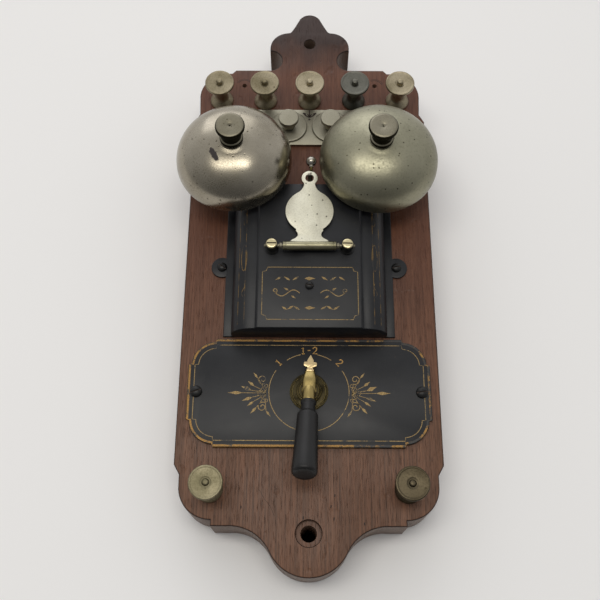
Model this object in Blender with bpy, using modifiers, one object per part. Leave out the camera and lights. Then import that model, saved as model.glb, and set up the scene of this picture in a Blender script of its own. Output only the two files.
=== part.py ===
"""Wall extension bell and line switch for an early telephone line.

A shaped walnut backboard carries two bell gongs on posts, a lightning arrester, seven binding
posts, a japanned steel cover over the bell and drop-indicator works, and a dial plate with a
three-position line selector lever.

Frame: metres, +Z up, the front faces -Y. The origin is the centre of the backboard's back face.
Sizes below are millimetres. Heights called h are measured forwards from the board's front face.
"""

import math

import bmesh
import bpy
from mathutils import Matrix, Vector

MM = 0.001
GAP = 0.3  # clearance between pieces that touch
MERGE = 1e-5
FRONT = 90.0  # tilt about X that turns a piece's own +Z to the front
UP = 0.0
PARTS = "wall_telephone_bell_set"
CUTTERS = "cutters"

# Backboard: width and thickness, crest, shoulders and foot; its height follows from what it carries
BOARD_W = 150.0
BOARD_T = 30.0
BOARD_EDGE = 1.2
CREST_H = 46.7
CREST_TIP_R = 8.0
CREST_NECK_HALF = 12.85
CREST_NECK_DROP = 15.2
CREST_LOBE_X = 14.2
CREST_LOBE_R = 12.5
CREST_LOBE_DROP = 28.0
BITE_R = 8.0
SHOULDER_R = 18.5
SHOULDER_STEP = 2.6
SHOULDER_TAIL = 14.0
SHOULDER_CHAMFER = 5.5
FOOT_H = 26.65
FOOT_STEP = 3.2
FOOT_LOBE_R = 18.3
FOOT_CHAMFER = 5.5
FOOT_TAIL = 6.2
FOOT_FLAT_HALF = 43.0
FOOT_HOLLOW_R = 24.3
FOOT_NOSE_R = 23.7
HANG_HOLE_R = 3.8
HANG_HOLE_DROP = 25.1
LOW_HOLE_R = 4.25
LOW_HOLE_RISE = 23.05
LOW_SEAT_R = 7.1
LOW_SEAT_DEPTH = 3.0
NAIL_HOLE_R = 1.3
NAIL_HOLE_X = 43.3
NAIL_HOLE_DROP = 12.7
NAIL_HOLE_DEPTH = 6.0
GROOVE_W = 5.0
GROOVE_DEPTH = 4.0
GROOVE_X = 20.0
WIRE_HOLE_R = 1.9

# Binding posts: five along the top, two at the foot
TERMINAL_INSET = 17.2
TERMINAL_DROP = 24.85
TERMINAL_RISE = 19.7
TERMINAL_LOW_INSET = 20.5
TERMINAL_LOW_BELOW_PLATE = 22.8
POST_FLANGE_R = 8.4
POST_COLUMN_R = 4.0
POST_SHOULDER_H = 10.0
STUD_R = 2.0
STUD_TOP_H = 22.2
NUT_R = 9.25
NUT_NECK_R = 5.0
NUT_DISC_T = 2.0
NUT_LENGTH = 9.6
NUT_RECESS_R = 3.4
NUT_SEAT_TOP = 10.6
NUT_SEAT_LOW = 12.2

# Lightning arrester: earth plate, two line discs, two clamping knobs
ARRESTER_BELOW_TERMINALS = 21.75
ARRESTER_HALF_W = 47.0
ARRESTER_H = 26.7
ARRESTER_T = 2.0
DISC_X = 13.4
DISC_R = 11.8
DISC_T = 1.2
KNOB_R = 6.4
KNOB_NECK_R = 4.0
KNOB_HEAD_T = 3.0
KNOB_TOP_H = 13.5

# Gongs, struck from inside the pair by a ball that rests closer to the right one
GONG_BELOW_ARRESTER = 36.95
GONG_LEFT_R = 35.3
GONG_RIGHT_R = 36.1
GONG_RIM_H = 21.5
GONG_DEPTH = 24.5
GONG_WALL = 1.6
GONG_POWER = 2.2
GONG_STEPS = 28
BALL_X = 1.0
BALL_R = 3.25
BALL_H = 20.0
STROKE_LEFT = 8.45
STROKE_RIGHT = 1.65
GONG_POST_R = 4.2
GONG_POST_BASE_R = 7.0
GONG_STUD_R = 2.6
GONG_STUD_RISE = 6.0
GONG_NUT_R = 8.6
GONG_NUT_NECK_R = 5.7
GONG_NUT_LENGTH = 13.7

# Cover: pressed steel, flanged, over the bell and drop works
COVER_BELOW_GONGS = 13.9
COVER_LENGTH = 93.5
COVER_HALF_W = 45.5
COVER_FLANGE_HALF = 50.4
COVER_FLANGE_T = 1.2
COVER_WALL = 1.2
COVER_H = 17.3
COVER_SHOULDER_H = 15.5
COVER_FLAT_HALF = 30.0
COVER_ROUND = 12.5
COVER_SKIRT_H = 4.5
EAR_R = 6.5
EAR_X = 52.7
EAR_BELOW_TOP = 49.0
CENTRE_SCREW_BELOW_TOP = 67.6

# Drop shutter and its hinge on the cover
SHUTTER_AXIS_H = 21.5
SHUTTER_ARM = 46.6
SHUTTER_RING_ABOVE_COVER = 2.6
SHUTTER_TUBE_R = 2.6
SHUTTER_TUBE_HALF = 15.7
SHUTTER_T = 1.0
SHUTTER_DISC_R = 14.4
SHUTTER_DISC_ARM = 24.0
SHUTTER_RING_R = 4.9
SHUTTER_HOLE_R = 2.5
HINGE_PIN_R = 1.1
HINGE_PIN_HALF = 26.8
HINGE_LUG_X = 22.2
HINGE_LUG_R = 3.3
HINGE_LUG_TOP = 24.0

# Drop latch and its coil, inside the cover
LATCH_PIVOT_H = 11.0
LATCH_PIVOT_BELOW_TOP = 6.0
LATCH_PIN_R = 1.0
LATCH_HUB_R = 2.5
LATCH_ARM_X = 13.2
LATCH_ARM_HALF = 3.7
LATCH_STRIP_T = 1.4
LATCH_FINGER_HALF = 1.1
LATCH_FINGER_TIP_H = 22.0
DROP_COIL_BELOW_PIVOT = 19.0
DROP_COIL_X = 14.5
DROP_COIL_R = 8.0
DROP_CORE_R = 2.5
DROP_CORE_TIP_H = 4.6

# Polarised bell works, inside the cover
WORKS_DEPTH = 15.0
WORKS_HALF_W = 40.0
ARMATURE_BELOW_TOP = 52.7
ARMATURE_HALF = 17.0
ARMATURE_T = 3.0
ARMATURE_HUB_R = 4.2
PIVOT_R = 1.2
BELL_COIL_X = 13.0
BELL_COIL_R = 7.5
BELL_COIL_H = -3.5
BELL_COIL_LENGTH = 26.0
BELL_CORE_R = 3.0
POLE_GAP = 2.8
CLAPPER_ROD_R = 0.9
ROD_SLOT_X = (-8.6, 4.2)  # the rod swings further to the left than to the right
ROD_SLOT_H = (3.6, 9.2)
LATCH_SLOT_LOW_H = 7.5
BLIND_HOLE = 12.0  # depth of the screw and stud holes in the board
STUD_LENGTH = 11.0

# Dial plate and line selector
PLATE_MARGIN = 5.25
PLATE_H = 64.0
PLATE_T = 1.5
PLATE_CORNER = 16.0
PLATE_CORNER_STEP = 1.8
PLATE_BELOW_COVER = 1.5
PLATE_SCREW_INSET = 5.2
DIAL_POCKET_HALF_W = 34.0
DIAL_POCKET_HALF_H = 27.0
DIAL_POCKET_DEPTH = 14.0
BOSS_R = 11.0
BOSS_RING_R = 7.0
BOSS_TAIL_R = 5.0
SPINDLE_R = 1.8
SPINDLE_COLLAR_R = 2.8
HUB_R = 4.2
HUB_BACK_H = 5.4
HUB_FRONT_H = 11.2
POINTER_HALF = 3.25
POINTER_RISE = 19.8
HANDLE_TILT = 20.0
HANDLE_START = 11.5
HANDLE_REACH = 58.0
FERRULE_R = 4.5
GRIP_R = 7.0
TANG_R = 2.2
CONTACT_ARM = 17.5
PAD_R = 2.6
PAD_STEM_R = 1.6
PAD_BASE_R = 4.0
PAD_T = 1.6
CONTACT_ANGLES = {"one": -45.0, "both": 0.0, "two": 45.0}

# Screws
PLATE_SCREW = {"head_r": 3.5, "head_t": 1.9, "shank_r": 1.6, "length": 12.0}
EAR_SCREW = {"head_r": 2.9, "head_t": 1.8, "shank_r": 1.3, "length": 11.0}
CENTRE_SCREW = {"head_r": 2.5, "head_t": 1.6, "shank_r": 1.2, "length": 3.0}
LUG_SCREW = {"head_r": 3.1, "head_t": 1.6, "shank_r": 1.0, "length": 0.8}

# The board is as high as the row of things on it, from the crest down to the foot
BOARD_H = (
    CREST_H
    + TERMINAL_DROP
    + ARRESTER_BELOW_TERMINALS
    + GONG_BELOW_ARRESTER
    + COVER_BELOW_GONGS
    + COVER_LENGTH
    + PLATE_BELOW_COVER
    + PLATE_H
    + TERMINAL_LOW_BELOW_PLATE
    + TERMINAL_RISE
    + FOOT_H
)

# Places along the board
TOP_EDGE_Z = BOARD_H / 2 - CREST_H
FOOT_EDGE_Z = FOOT_H - BOARD_H / 2
TERMINAL_Z = TOP_EDGE_Z - TERMINAL_DROP
TERMINAL_LOW_Z = FOOT_EDGE_Z + TERMINAL_RISE
TERMINAL_OUT_X = BOARD_W / 2 - TERMINAL_INSET
TERMINAL_LOW_X = BOARD_W / 2 - TERMINAL_LOW_INSET
HANG_HOLE_Z = BOARD_H / 2 - HANG_HOLE_DROP
LOW_HOLE_Z = LOW_HOLE_RISE - BOARD_H / 2
ARRESTER_Z = TERMINAL_Z - ARRESTER_BELOW_TERMINALS
GONG_Z = ARRESTER_Z - GONG_BELOW_ARRESTER
GONG_LEFT_X = BALL_X - BALL_R - STROKE_LEFT - GONG_LEFT_R
GONG_RIGHT_X = BALL_X + BALL_R + STROKE_RIGHT + GONG_RIGHT_R
COVER_TOP = GONG_Z - COVER_BELOW_GONGS
COVER_BOTTOM = COVER_TOP - COVER_LENGTH
EAR_Z = COVER_TOP - EAR_BELOW_TOP
RING_Z = COVER_TOP + SHUTTER_RING_ABOVE_COVER
SHUTTER_AXIS_Z = RING_Z - SHUTTER_ARM
LATCH_PIVOT_Z = COVER_TOP - LATCH_PIVOT_BELOW_TOP
ARMATURE_Z = COVER_TOP - ARMATURE_BELOW_TOP
DIAL_Z = COVER_BOTTOM - PLATE_BELOW_COVER - PLATE_H / 2
PLATE_HALF_W = BOARD_W / 2 - PLATE_MARGIN
PLATE_FRONT_H = GAP + PLATE_T
WORKS_BOTTOM = COVER_BOTTOM + 2.5
WORKS_TOP = COVER_TOP - 4.0

WALNUT = ((0.155, 0.075, 0.045), 0.0, 0.42)
NICKEL = ((0.30, 0.29, 0.22), 1.0, 0.35)
PALE_NICKEL = ((0.56, 0.54, 0.46), 1.0, 0.40)
JAPAN = ((0.018, 0.018, 0.020), 0.0, 0.30)
BRASS = ((0.30, 0.22, 0.09), 1.0, 0.38)
EBONITE = ((0.020, 0.018, 0.018), 0.0, 0.35)
IRON = ((0.10, 0.10, 0.10), 1.0, 0.50)
COPPER_WIRE = ((0.20, 0.08, 0.03), 0.0, 0.60)


# --- Helpers


def clear_scene() -> None:
    """Empty the scene and make the two collections."""
    for obj in list(bpy.data.objects):
        bpy.data.objects.remove(obj, do_unlink=True)
    for name in (PARTS, CUTTERS):
        bpy.context.scene.collection.children.link(bpy.data.collections.new(name))


def at(x: float, h: float, z: float) -> Vector:
    """World point in metres from a place in millimetres, h forwards of the board's front."""
    return Vector((x * MM, -(BOARD_T + h) * MM, z * MM))


def add_object(name, data, finish):
    """Link a mesh or a curve: with a finish it is a part, without one it is a cutter or a blank."""
    obj = bpy.data.objects.new(name, data)
    if finish is None:
        bpy.data.collections[CUTTERS].objects.link(obj)
        obj.hide_render = True
        obj.display_type = "WIRE"
        return obj
    bpy.data.collections[PARTS].objects.link(obj)
    colour, metallic, roughness = finish
    material = bpy.data.materials.new(name + "_finish")
    material.use_nodes = True
    shader = material.node_tree.nodes["Principled BSDF"]
    shader.inputs["Base Color"].default_value = (*colour, 1.0)
    shader.inputs["Metallic"].default_value = metallic
    shader.inputs["Roughness"].default_value = roughness
    data.materials.append(material)
    return obj


def turned(name, profile, place, finish=None, tilt=FRONT, steps=24):
    """A turned piece from (radius, height) pairs that run down its outer side, about its own +Z.

    A profile that starts and ends on the axis is solid; any other is closed round its bore.
    """
    mesh = bpy.data.meshes.new(name)
    points = [(radius * MM, 0.0, height * MM) for radius, height in profile]
    edges = [(i, i + 1) for i in range(len(points) - 1)]
    if profile[0][0] > 0.0:
        edges.append((len(points) - 1, 0))
    mesh.from_pydata(points, edges, [])
    obj = add_object(name, mesh, finish)
    obj.location = place
    obj.rotation_euler = (math.radians(tilt), 0.0, 0.0)
    spin = obj.modifiers.new("Turn", "SCREW")
    spin.axis = "Z"
    spin.steps = spin.render_steps = steps
    spin.use_merge_vertices = True
    spin.merge_threshold = MERGE
    spin.use_smooth_shade = True
    return obj


def block(name, x_range, h_range, z_range, finish=None):
    """A rectangular block between two limits on each axis, with its origin at its middle."""
    middle = [(low + high) / 2 for low, high in (x_range, h_range, z_range)]
    size = [(high - low) * MM for low, high in (x_range, h_range, z_range)]
    bm = bmesh.new()
    bmesh.ops.create_cube(bm, size=1.0, matrix=Matrix.Diagonal((*size, 1.0)))
    mesh = bpy.data.meshes.new(name)
    bm.to_mesh(mesh)
    bm.free()
    obj = add_object(name, mesh, finish)
    obj.location = at(*middle)
    return obj


def rod(name, start, end, radius, finish=None, segments=24):
    """A straight round rod between two world points."""
    run = end - start
    bm = bmesh.new()
    bmesh.ops.create_cone(
        bm,
        cap_ends=True,
        segments=segments,
        radius1=radius * MM,
        radius2=radius * MM,
        depth=run.length,
    )
    mesh = bpy.data.meshes.new(name)
    bm.to_mesh(mesh)
    bm.free()
    obj = add_object(name, mesh, finish)
    obj.location = (start + end) / 2
    obj.rotation_euler = run.to_track_quat("Z", "Y").to_euler()
    return obj


def sheet(name, outline, h_range, finish=None, x=0.0, z=0.0):
    """A flat piece: an outline of (x, z) points, filled, between two heights off the board."""
    low, high = h_range
    curve = bpy.data.curves.new(name, "CURVE")
    curve.dimensions = "2D"
    curve.fill_mode = "BOTH"
    curve.extrude = (high - low) / 2 * MM
    spline = curve.splines.new("POLY")
    spline.points.add(len(outline) - 1)
    for point, (px, pz) in zip(spline.points, outline):
        point.co = (px * MM, pz * MM, 0.0, 1.0)
    spline.use_cyclic_u = True
    guide = bpy.data.objects.new(name + "_outline", curve)
    bpy.context.scene.collection.objects.link(guide)
    graph = bpy.context.evaluated_depsgraph_get()
    mesh = bpy.data.meshes.new_from_object(guide.evaluated_get(graph))
    bpy.data.objects.remove(guide, do_unlink=True)
    bm = bmesh.new()
    bm.from_mesh(mesh)
    bmesh.ops.remove_doubles(bm, verts=bm.verts, dist=MERGE)
    bmesh.ops.dissolve_limit(bm, angle_limit=0.01, verts=bm.verts, edges=bm.edges)
    bmesh.ops.recalc_face_normals(bm, faces=bm.faces)
    bm.to_mesh(mesh)
    bm.free()
    mesh.name = name
    mesh.materials.clear()
    obj = add_object(name, mesh, finish)
    obj.location = at(x, (low + high) / 2, z)
    obj.rotation_euler = (math.radians(FRONT), 0.0, 0.0)
    return obj


def wire(name, places, radius, finish):
    """A bent round wire through places (x, h, z), smoothed, as one closed solid."""
    curve = bpy.data.curves.new(name, "CURVE")
    curve.dimensions = "3D"
    curve.bevel_depth = radius * MM
    curve.bevel_resolution = 2
    curve.use_fill_caps = True
    spline = curve.splines.new("POLY")
    route = smooth_route([at(*place) for place in places])
    spline.points.add(len(route) - 1)
    for point, spot in zip(spline.points, route):
        point.co = (*spot, 1.0)
    return add_object(name, curve, finish)


def smooth_route(points, per_span=2):
    """A Catmull-Rom route through the points."""
    ends = [points[0] * 2 - points[1], *points, points[-1] * 2 - points[-2]]
    route = []
    for a, b, c, d in zip(ends, ends[1:], ends[2:], ends[3:]):
        for step in range(per_span):
            t = step / per_span
            route.append(
                0.5
                * (
                    b * 2
                    + (c - a) * t
                    + (a * 2 - b * 5 + c * 4 - d) * t**2
                    + (b * 3 - a - c * 3 + d) * t**3
                )
            )
    route.append(points[-1])
    return route


def arc(cx, cz, radius, start, end, count):
    """Points on an arc about (cx, cz), from one angle to another in degrees, both ends included."""
    turn = (end - start) / (count - 1)
    angles = [math.radians(start + turn * i) for i in range(count)]
    return [(cx + radius * math.cos(a), cz + radius * math.sin(a)) for a in angles]


def mirrored(half):
    """A closed outline from its right half, listed from one end to the other.

    An end on the middle line is kept once, and a flat end has no point there.
    """
    return half + [(-x, z) for x, z in reversed(half) if x > MERGE]


def cut(obj, *cutters) -> None:
    """Take the cutters away from a piece."""
    combine(obj, "DIFFERENCE", cutters)


def join(obj, *blanks) -> None:
    """Make the blanks one body with a piece."""
    combine(obj, "UNION", blanks)


def combine(obj, operation, others) -> None:
    """One exact Boolean for each other object."""
    for other in others:
        step = obj.modifiers.new(other.name, "BOOLEAN")
        step.operation = operation
        step.solver = "EXACT"
        step.object = other


def bore(name, x, z, radius, h_range, steps=20):
    """A round cutter along the depth of the board."""
    low, high = h_range
    return turned(name, [(0, high), (radius, high), (radius, low), (0, low)], at(x, 0, z), steps=steps)


def hang_on_axis(name, place, *pieces) -> None:
    """Parent the pieces of a moving body to an empty on its joint's axis."""
    axis = bpy.data.objects.new(name, None)
    bpy.data.collections[PARTS].objects.link(axis)
    axis.location = place
    bpy.context.view_layer.update()
    for piece in pieces:
        piece.parent = axis
        piece.matrix_parent_inverse = axis.matrix_world.inverted()


def slotted_screw(name, x, z, seat_h, size, finish, slot_angle=0.0):
    """A round-head screw whose head sits at seat_h, with a slot turned from the level."""
    head_r, head_t = size["head_r"], size["head_t"]
    seat = seat_h + GAP
    profile = [
        (0, seat + head_t),
        (head_r * 0.55, seat + head_t * 0.88),
        (head_r * 0.9, seat + head_t * 0.5),
        (head_r, seat),
        (size["shank_r"], seat),
        (size["shank_r"], seat_h - size["length"]),
        (0, seat_h - size["length"]),
    ]
    screw = turned(name, profile, at(x, 0, z), finish, steps=12)
    top = seat + head_t
    slot = block(name + "_slot", (-head_r - 1, head_r + 1), (top - head_t * 0.45, top + 1), (-0.35, 0.35))
    slot.location = at(x, top, z)
    slot.rotation_euler = (0.0, math.radians(slot_angle), 0.0)
    cut(screw, slot)
    return screw


# --- Backboard


def board_outline():
    """The board's outline: crest, bite, shoulder, side, foot lobe, hollow and nose."""
    half_w, half_h = BOARD_W / 2, BOARD_H / 2
    lobe_x = half_w - 21.0
    shoulder_x = lobe_x + SHOULDER_R
    shoulder_z = TOP_EDGE_Z - SHOULDER_STEP - SHOULDER_R
    tail_z = shoulder_z - SHOULDER_TAIL
    foot_x = half_w - 21.5
    foot_z = FOOT_EDGE_Z + FOOT_STEP + FOOT_LOBE_R
    nose_z = FOOT_NOSE_R - half_h
    hollow_z = FOOT_EDGE_Z - FOOT_HOLLOW_R
    toward = math.atan2(hollow_z - nose_z, FOOT_FLAT_HALF)
    meet = math.degrees(toward)
    half = arc(0, half_h - CREST_TIP_R, CREST_TIP_R, 90, 32, 5)
    half += [(CREST_NECK_HALF - 2.6, half_h - CREST_NECK_DROP + 4.5)]
    half += [(CREST_NECK_HALF, half_h - CREST_NECK_DROP)]
    half += arc(CREST_LOBE_X, half_h - CREST_LOBE_DROP, CREST_LOBE_R, 84, 0, 8)
    half += arc(CREST_LOBE_X + CREST_LOBE_R, TOP_EDGE_Z + BITE_R, BITE_R, 90, 266, 11)
    half += [(lobe_x - 4.6, TOP_EDGE_Z), (lobe_x - 2.2, TOP_EDGE_Z - SHOULDER_STEP)]
    half += arc(lobe_x, shoulder_z, SHOULDER_R, 90, 0, 9)
    half += [(shoulder_x - 0.6, tail_z), (half_w, tail_z - SHOULDER_CHAMFER)]
    half += [(half_w, foot_z + FOOT_TAIL + FOOT_CHAMFER)]
    half += [(foot_x + FOOT_LOBE_R, foot_z + FOOT_TAIL)]
    half += arc(foot_x, foot_z, FOOT_LOBE_R, 0, -90, 9)
    half += [(foot_x, FOOT_EDGE_Z)]
    half += arc(FOOT_FLAT_HALF, hollow_z, FOOT_HOLLOW_R, 86, 180 + meet, 7)
    half += arc(0, nose_z, FOOT_NOSE_R, meet, -90, 8)[1:]
    return mirrored(half)


def soften_front_edge(obj) -> None:
    """Round over the front edge of the board's outline."""
    bm = bmesh.new()
    bm.from_mesh(obj.data)
    front = max(v.co.z for v in bm.verts)
    rim = [
        edge
        for edge in bm.edges
        if all(abs(v.co.z - front) < MERGE for v in edge.verts)
        and edge.calc_face_angle(0.0) > 0.5
    ]
    bmesh.ops.bevel(
        bm, geom=rim, offset=BOARD_EDGE * MM, segments=1, profile=0.5, affect="EDGES", clamp_overlap=True
    )
    bm.to_mesh(obj.data)
    bm.free()


def terminal_places():
    """Name and place of each binding post, top row from left to right, then the foot."""
    places = {}
    for index, name in enumerate(("far_left", "left", "centre", "right", "far_right")):
        places["top_" + name] = (TERMINAL_OUT_X * (index - 2) / 2, TERMINAL_Z, NUT_SEAT_TOP)
    places["foot_left"] = (-TERMINAL_LOW_X, TERMINAL_LOW_Z, NUT_SEAT_LOW)
    places["foot_right"] = (TERMINAL_LOW_X, TERMINAL_LOW_Z, NUT_SEAT_LOW)
    return places


def make_board():
    """The backboard with its pockets, wiring grooves and every hole drilled in it."""
    board = sheet("backboard", board_outline(), (-BOARD_T, 0.0), WALNUT)
    soften_front_edge(board)
    through = (-BOARD_T - 2, 2)
    blind = (-BLIND_HOLE, 2)
    groove_h = (-BOARD_T - 1, -BOARD_T + GROOVE_DEPTH)
    half_groove = GROOVE_W / 2
    cut(
        board,
        block(
            "works_pocket",
            (-WORKS_HALF_W, WORKS_HALF_W),
            (-WORKS_DEPTH, 2),
            (WORKS_BOTTOM, WORKS_TOP),
        ),
        block(
            "dial_pocket",
            (-DIAL_POCKET_HALF_W, DIAL_POCKET_HALF_W),
            (-DIAL_POCKET_DEPTH, 2),
            (DIAL_Z - DIAL_POCKET_HALF_H, DIAL_Z + DIAL_POCKET_HALF_H),
        ),
        block(
            "pocket_passage",
            (-4, 4),
            (-DIAL_POCKET_DEPTH + 0.5, -DIAL_POCKET_DEPTH + 5),
            (DIAL_Z + DIAL_POCKET_HALF_H - 1, WORKS_BOTTOM + 1),
        ),
        block(
            "groove_top",
            (-TERMINAL_OUT_X - half_groove, TERMINAL_OUT_X + half_groove),
            groove_h,
            (TERMINAL_Z - half_groove, TERMINAL_Z + half_groove),
        ),
        block(
            "groove_foot",
            (-TERMINAL_LOW_X - half_groove, TERMINAL_LOW_X + half_groove),
            groove_h,
            (TERMINAL_LOW_Z - half_groove, TERMINAL_LOW_Z + half_groove),
        ),
        block(
            "groove_run",
            (GROOVE_X - half_groove, GROOVE_X + half_groove),
            groove_h,
            (TERMINAL_LOW_Z, TERMINAL_Z),
        ),
        bore("hanging_hole", 0, HANG_HOLE_Z, HANG_HOLE_R, through),
        bore("foot_hole", 0, LOW_HOLE_Z, LOW_HOLE_R, through),
        bore("foot_seat", 0, LOW_HOLE_Z, LOW_SEAT_R, (-LOW_SEAT_DEPTH, 2), steps=24),
        bore("works_wire_hole", GROOVE_X, WORKS_TOP - 12, WIRE_HOLE_R, (-BOARD_T - 2, -WORKS_DEPTH + 2), 12),
        bore("dial_wire_hole", GROOVE_X, DIAL_Z, WIRE_HOLE_R, (-BOARD_T - 2, -DIAL_POCKET_DEPTH + 2), 12),
    )
    for name, (x, z, _) in terminal_places().items():
        cut(board, bore("hole_" + name, x, z, STUD_R + GAP, through, 12))
    for name, x, z in gong_places():
        cut(board, bore("post_hole_" + name, x, z, GONG_STUD_R + GAP, blind, 12))
    for side in (-1, 1):
        drill = str(side + 1)
        plate_screw_x = side * (PLATE_HALF_W - PLATE_SCREW_INSET)
        nail_z = TOP_EDGE_Z - NAIL_HOLE_DROP
        cut(
            board,
            bore("nail_hole_" + drill, side * NAIL_HOLE_X, nail_z, NAIL_HOLE_R, (-NAIL_HOLE_DEPTH, 2), 10),
            bore("plate_hole_" + drill, plate_screw_x, DIAL_Z, PLATE_SCREW["shank_r"] + GAP, blind, 12),
            bore("ear_hole_" + drill, side * EAR_X, EAR_Z, EAR_SCREW["shank_r"] + GAP, blind, 12),
            bore("knob_hole_" + drill, side * DISC_X, ARRESTER_Z, STUD_R + GAP, blind, 12),
        )
    return board


# --- Binding posts


def make_terminal(name, x, z, seat):
    """A binding post with its stud through the board, and the thumb nut that clamps the wire."""
    post = [
        (0, STUD_TOP_H),
        (STUD_R * 0.6, STUD_TOP_H - 0.2),
        (STUD_R, STUD_TOP_H - 1.0),
        (STUD_R, POST_SHOULDER_H),
        (POST_COLUMN_R, POST_SHOULDER_H),
        (POST_COLUMN_R, 6.0),
        (POST_COLUMN_R + 1.4, 3.2),
        (POST_FLANGE_R, 1.3),
        (POST_FLANGE_R, GAP),
        (STUD_R, GAP),
        (STUD_R, -BOARD_T + 1.0),
        (0, -BOARD_T + 1.0),
    ]
    turned("terminal_post_" + name, post, at(x, 0, z), NICKEL, steps=12)
    top = seat + NUT_LENGTH
    nut = [
        (STUD_R + GAP, top - 1.6),
        (NUT_RECESS_R, top - 0.3),
        (NUT_RECESS_R + 0.4, top),
        (NUT_R - 0.5, top),
        (NUT_R, top - 0.5),
        (NUT_R, top - NUT_DISC_T + 0.4),
        (NUT_R - 0.5, top - NUT_DISC_T),
        (NUT_NECK_R + 0.6, top - NUT_DISC_T - 0.8),
        (NUT_NECK_R, seat + 4.0),
        (NUT_NECK_R, seat),
        (STUD_R + GAP, seat),
    ]
    turned("terminal_nut_" + name, nut, at(x, 0, z), NICKEL, steps=16)


# --- Lightning arrester


def make_arrester() -> None:
    """The earth plate with two line discs held off it by knobs."""
    half_h = ARRESTER_H / 2
    outline = [
        (-ARRESTER_HALF_W, -half_h),
        (ARRESTER_HALF_W, -half_h),
        (ARRESTER_HALF_W, half_h),
        (-ARRESTER_HALF_W, half_h),
    ]
    plate_top = GAP + ARRESTER_T
    plate = sheet("arrester_plate", outline, (GAP, plate_top), PALE_NICKEL, z=ARRESTER_Z)
    disc_low = plate_top + GAP
    disc_top = disc_low + DISC_T
    neck_low = disc_top + GAP
    for side, x in (("left", -DISC_X), ("right", DISC_X)):
        cut(plate, bore("plate_bore_" + side, x, ARRESTER_Z, STUD_R + 2 * GAP, (-1, plate_top + 1), 16))
        disc = [
            (STUD_R + GAP, disc_top),
            (DISC_R - 0.3, disc_top),
            (DISC_R, disc_top - 0.3),
            (DISC_R, disc_low),
            (STUD_R + GAP, disc_low),
        ]
        turned("arrester_disc_" + side, disc, at(x, 0, ARRESTER_Z), NICKEL, steps=24)
        knob = [
            (0, KNOB_TOP_H),
            (KNOB_R - 0.5, KNOB_TOP_H),
            (KNOB_R, KNOB_TOP_H - 0.5),
            (KNOB_R, KNOB_TOP_H - KNOB_HEAD_T),
            (KNOB_NECK_R, KNOB_TOP_H - KNOB_HEAD_T - 0.8),
            (KNOB_NECK_R, neck_low),
            (STUD_R, neck_low),
            (STUD_R, -STUD_LENGTH),
            (0, -STUD_LENGTH),
        ]
        turned("arrester_knob_" + side, knob, at(x, 0, ARRESTER_Z), PALE_NICKEL, steps=16)


# --- Gongs


def gong_places():
    """Name and place of each gong."""
    return (("left", GONG_LEFT_X, GONG_Z), ("right", GONG_RIGHT_X, GONG_Z))


def dome(radius, depth, start_h, steps, first):
    """Half a superellipse from near the crown to the rim, as (radius, height) pairs."""
    points = []
    for i in range(first, steps + 1):
        turn = math.pi / 2 * i / steps
        across = math.sin(turn) ** (2 / GONG_POWER)
        rise = max(math.cos(turn), 0.0) ** (2 / GONG_POWER)
        points.append((radius * across, start_h + depth * rise))
    return points


def make_gong(side, x, z, radius) -> None:
    """A bell gong, the post that holds it off the board, and the nut that clamps its crown."""
    crown = GONG_RIM_H + GONG_DEPTH
    inner_crown = crown - GONG_WALL
    hole = GONG_STUD_R + GAP
    outer = [(hole, crown), *dome(radius, GONG_DEPTH, GONG_RIM_H, 8, 2)]
    inner = dome(radius - GONG_WALL, GONG_DEPTH - GONG_WALL, GONG_RIM_H, 8, 2)
    profile = outer + list(reversed(inner)) + [(hole, inner_crown)]
    turned("gong_" + side, profile, at(x, 0, z), NICKEL, steps=GONG_STEPS)
    stud_top = crown + GONG_STUD_RISE
    seat = inner_crown - GAP - 0.2
    post = [
        (0, stud_top),
        (GONG_STUD_R, stud_top),
        (GONG_STUD_R, seat),
        (GONG_POST_R + 1.3, seat),
        (GONG_POST_R + 1.3, seat - 1.6),
        (GONG_POST_R, seat - 2.4),
        (GONG_POST_R, 3.0),
        (GONG_POST_BASE_R, 2.0),
        (GONG_POST_BASE_R, GAP),
        (GONG_STUD_R, GAP),
        (GONG_STUD_R, -STUD_LENGTH),
        (0, -STUD_LENGTH),
    ]
    turned("gong_post_" + side, post, at(x, 0, z), NICKEL, steps=14)
    low = crown + GAP
    top = low + GONG_NUT_LENGTH
    nut = [
        (0, top - 0.9),
        (1.8, top - 0.7),
        (3.0, top),
        (GONG_NUT_R - 0.9, top - 0.3),
        (GONG_NUT_R, top - 1.2),
        (GONG_NUT_R, top - 5.2),
        (GONG_NUT_R - 1.0, top - 6.4),
        (GONG_NUT_NECK_R, top - 7.2),
        (GONG_NUT_NECK_R, low + 1.5),
        (GONG_NUT_NECK_R + 0.6, low + 1.2),
        (GONG_NUT_NECK_R + 0.6, low),
        (hole, low),
        (hole, stud_top + GAP),
        (0, stud_top + GAP),
    ]
    turned("gong_nut_" + side, nut, at(x, 0, z), NICKEL, steps=16)


# --- Cover


def cover_profile(shrink=0.0):
    """Half section of the cover as (x, h): skirt, round shoulder, step and flat front."""
    round_end = COVER_HALF_W - COVER_ROUND
    rise = COVER_SHOULDER_H - COVER_SKIRT_H
    half = [(COVER_FLAT_HALF - shrink, COVER_H - shrink)]
    half += [(COVER_FLAT_HALF - shrink + 1.0, COVER_SHOULDER_H - shrink)]
    for i in range(7):
        turn = math.radians(90 - 15 * i)
        half.append(
            (
                round_end + (COVER_ROUND - shrink) * math.cos(turn),
                COVER_SKIRT_H + (rise - shrink) * math.sin(turn),
            )
        )
    return half


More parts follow.
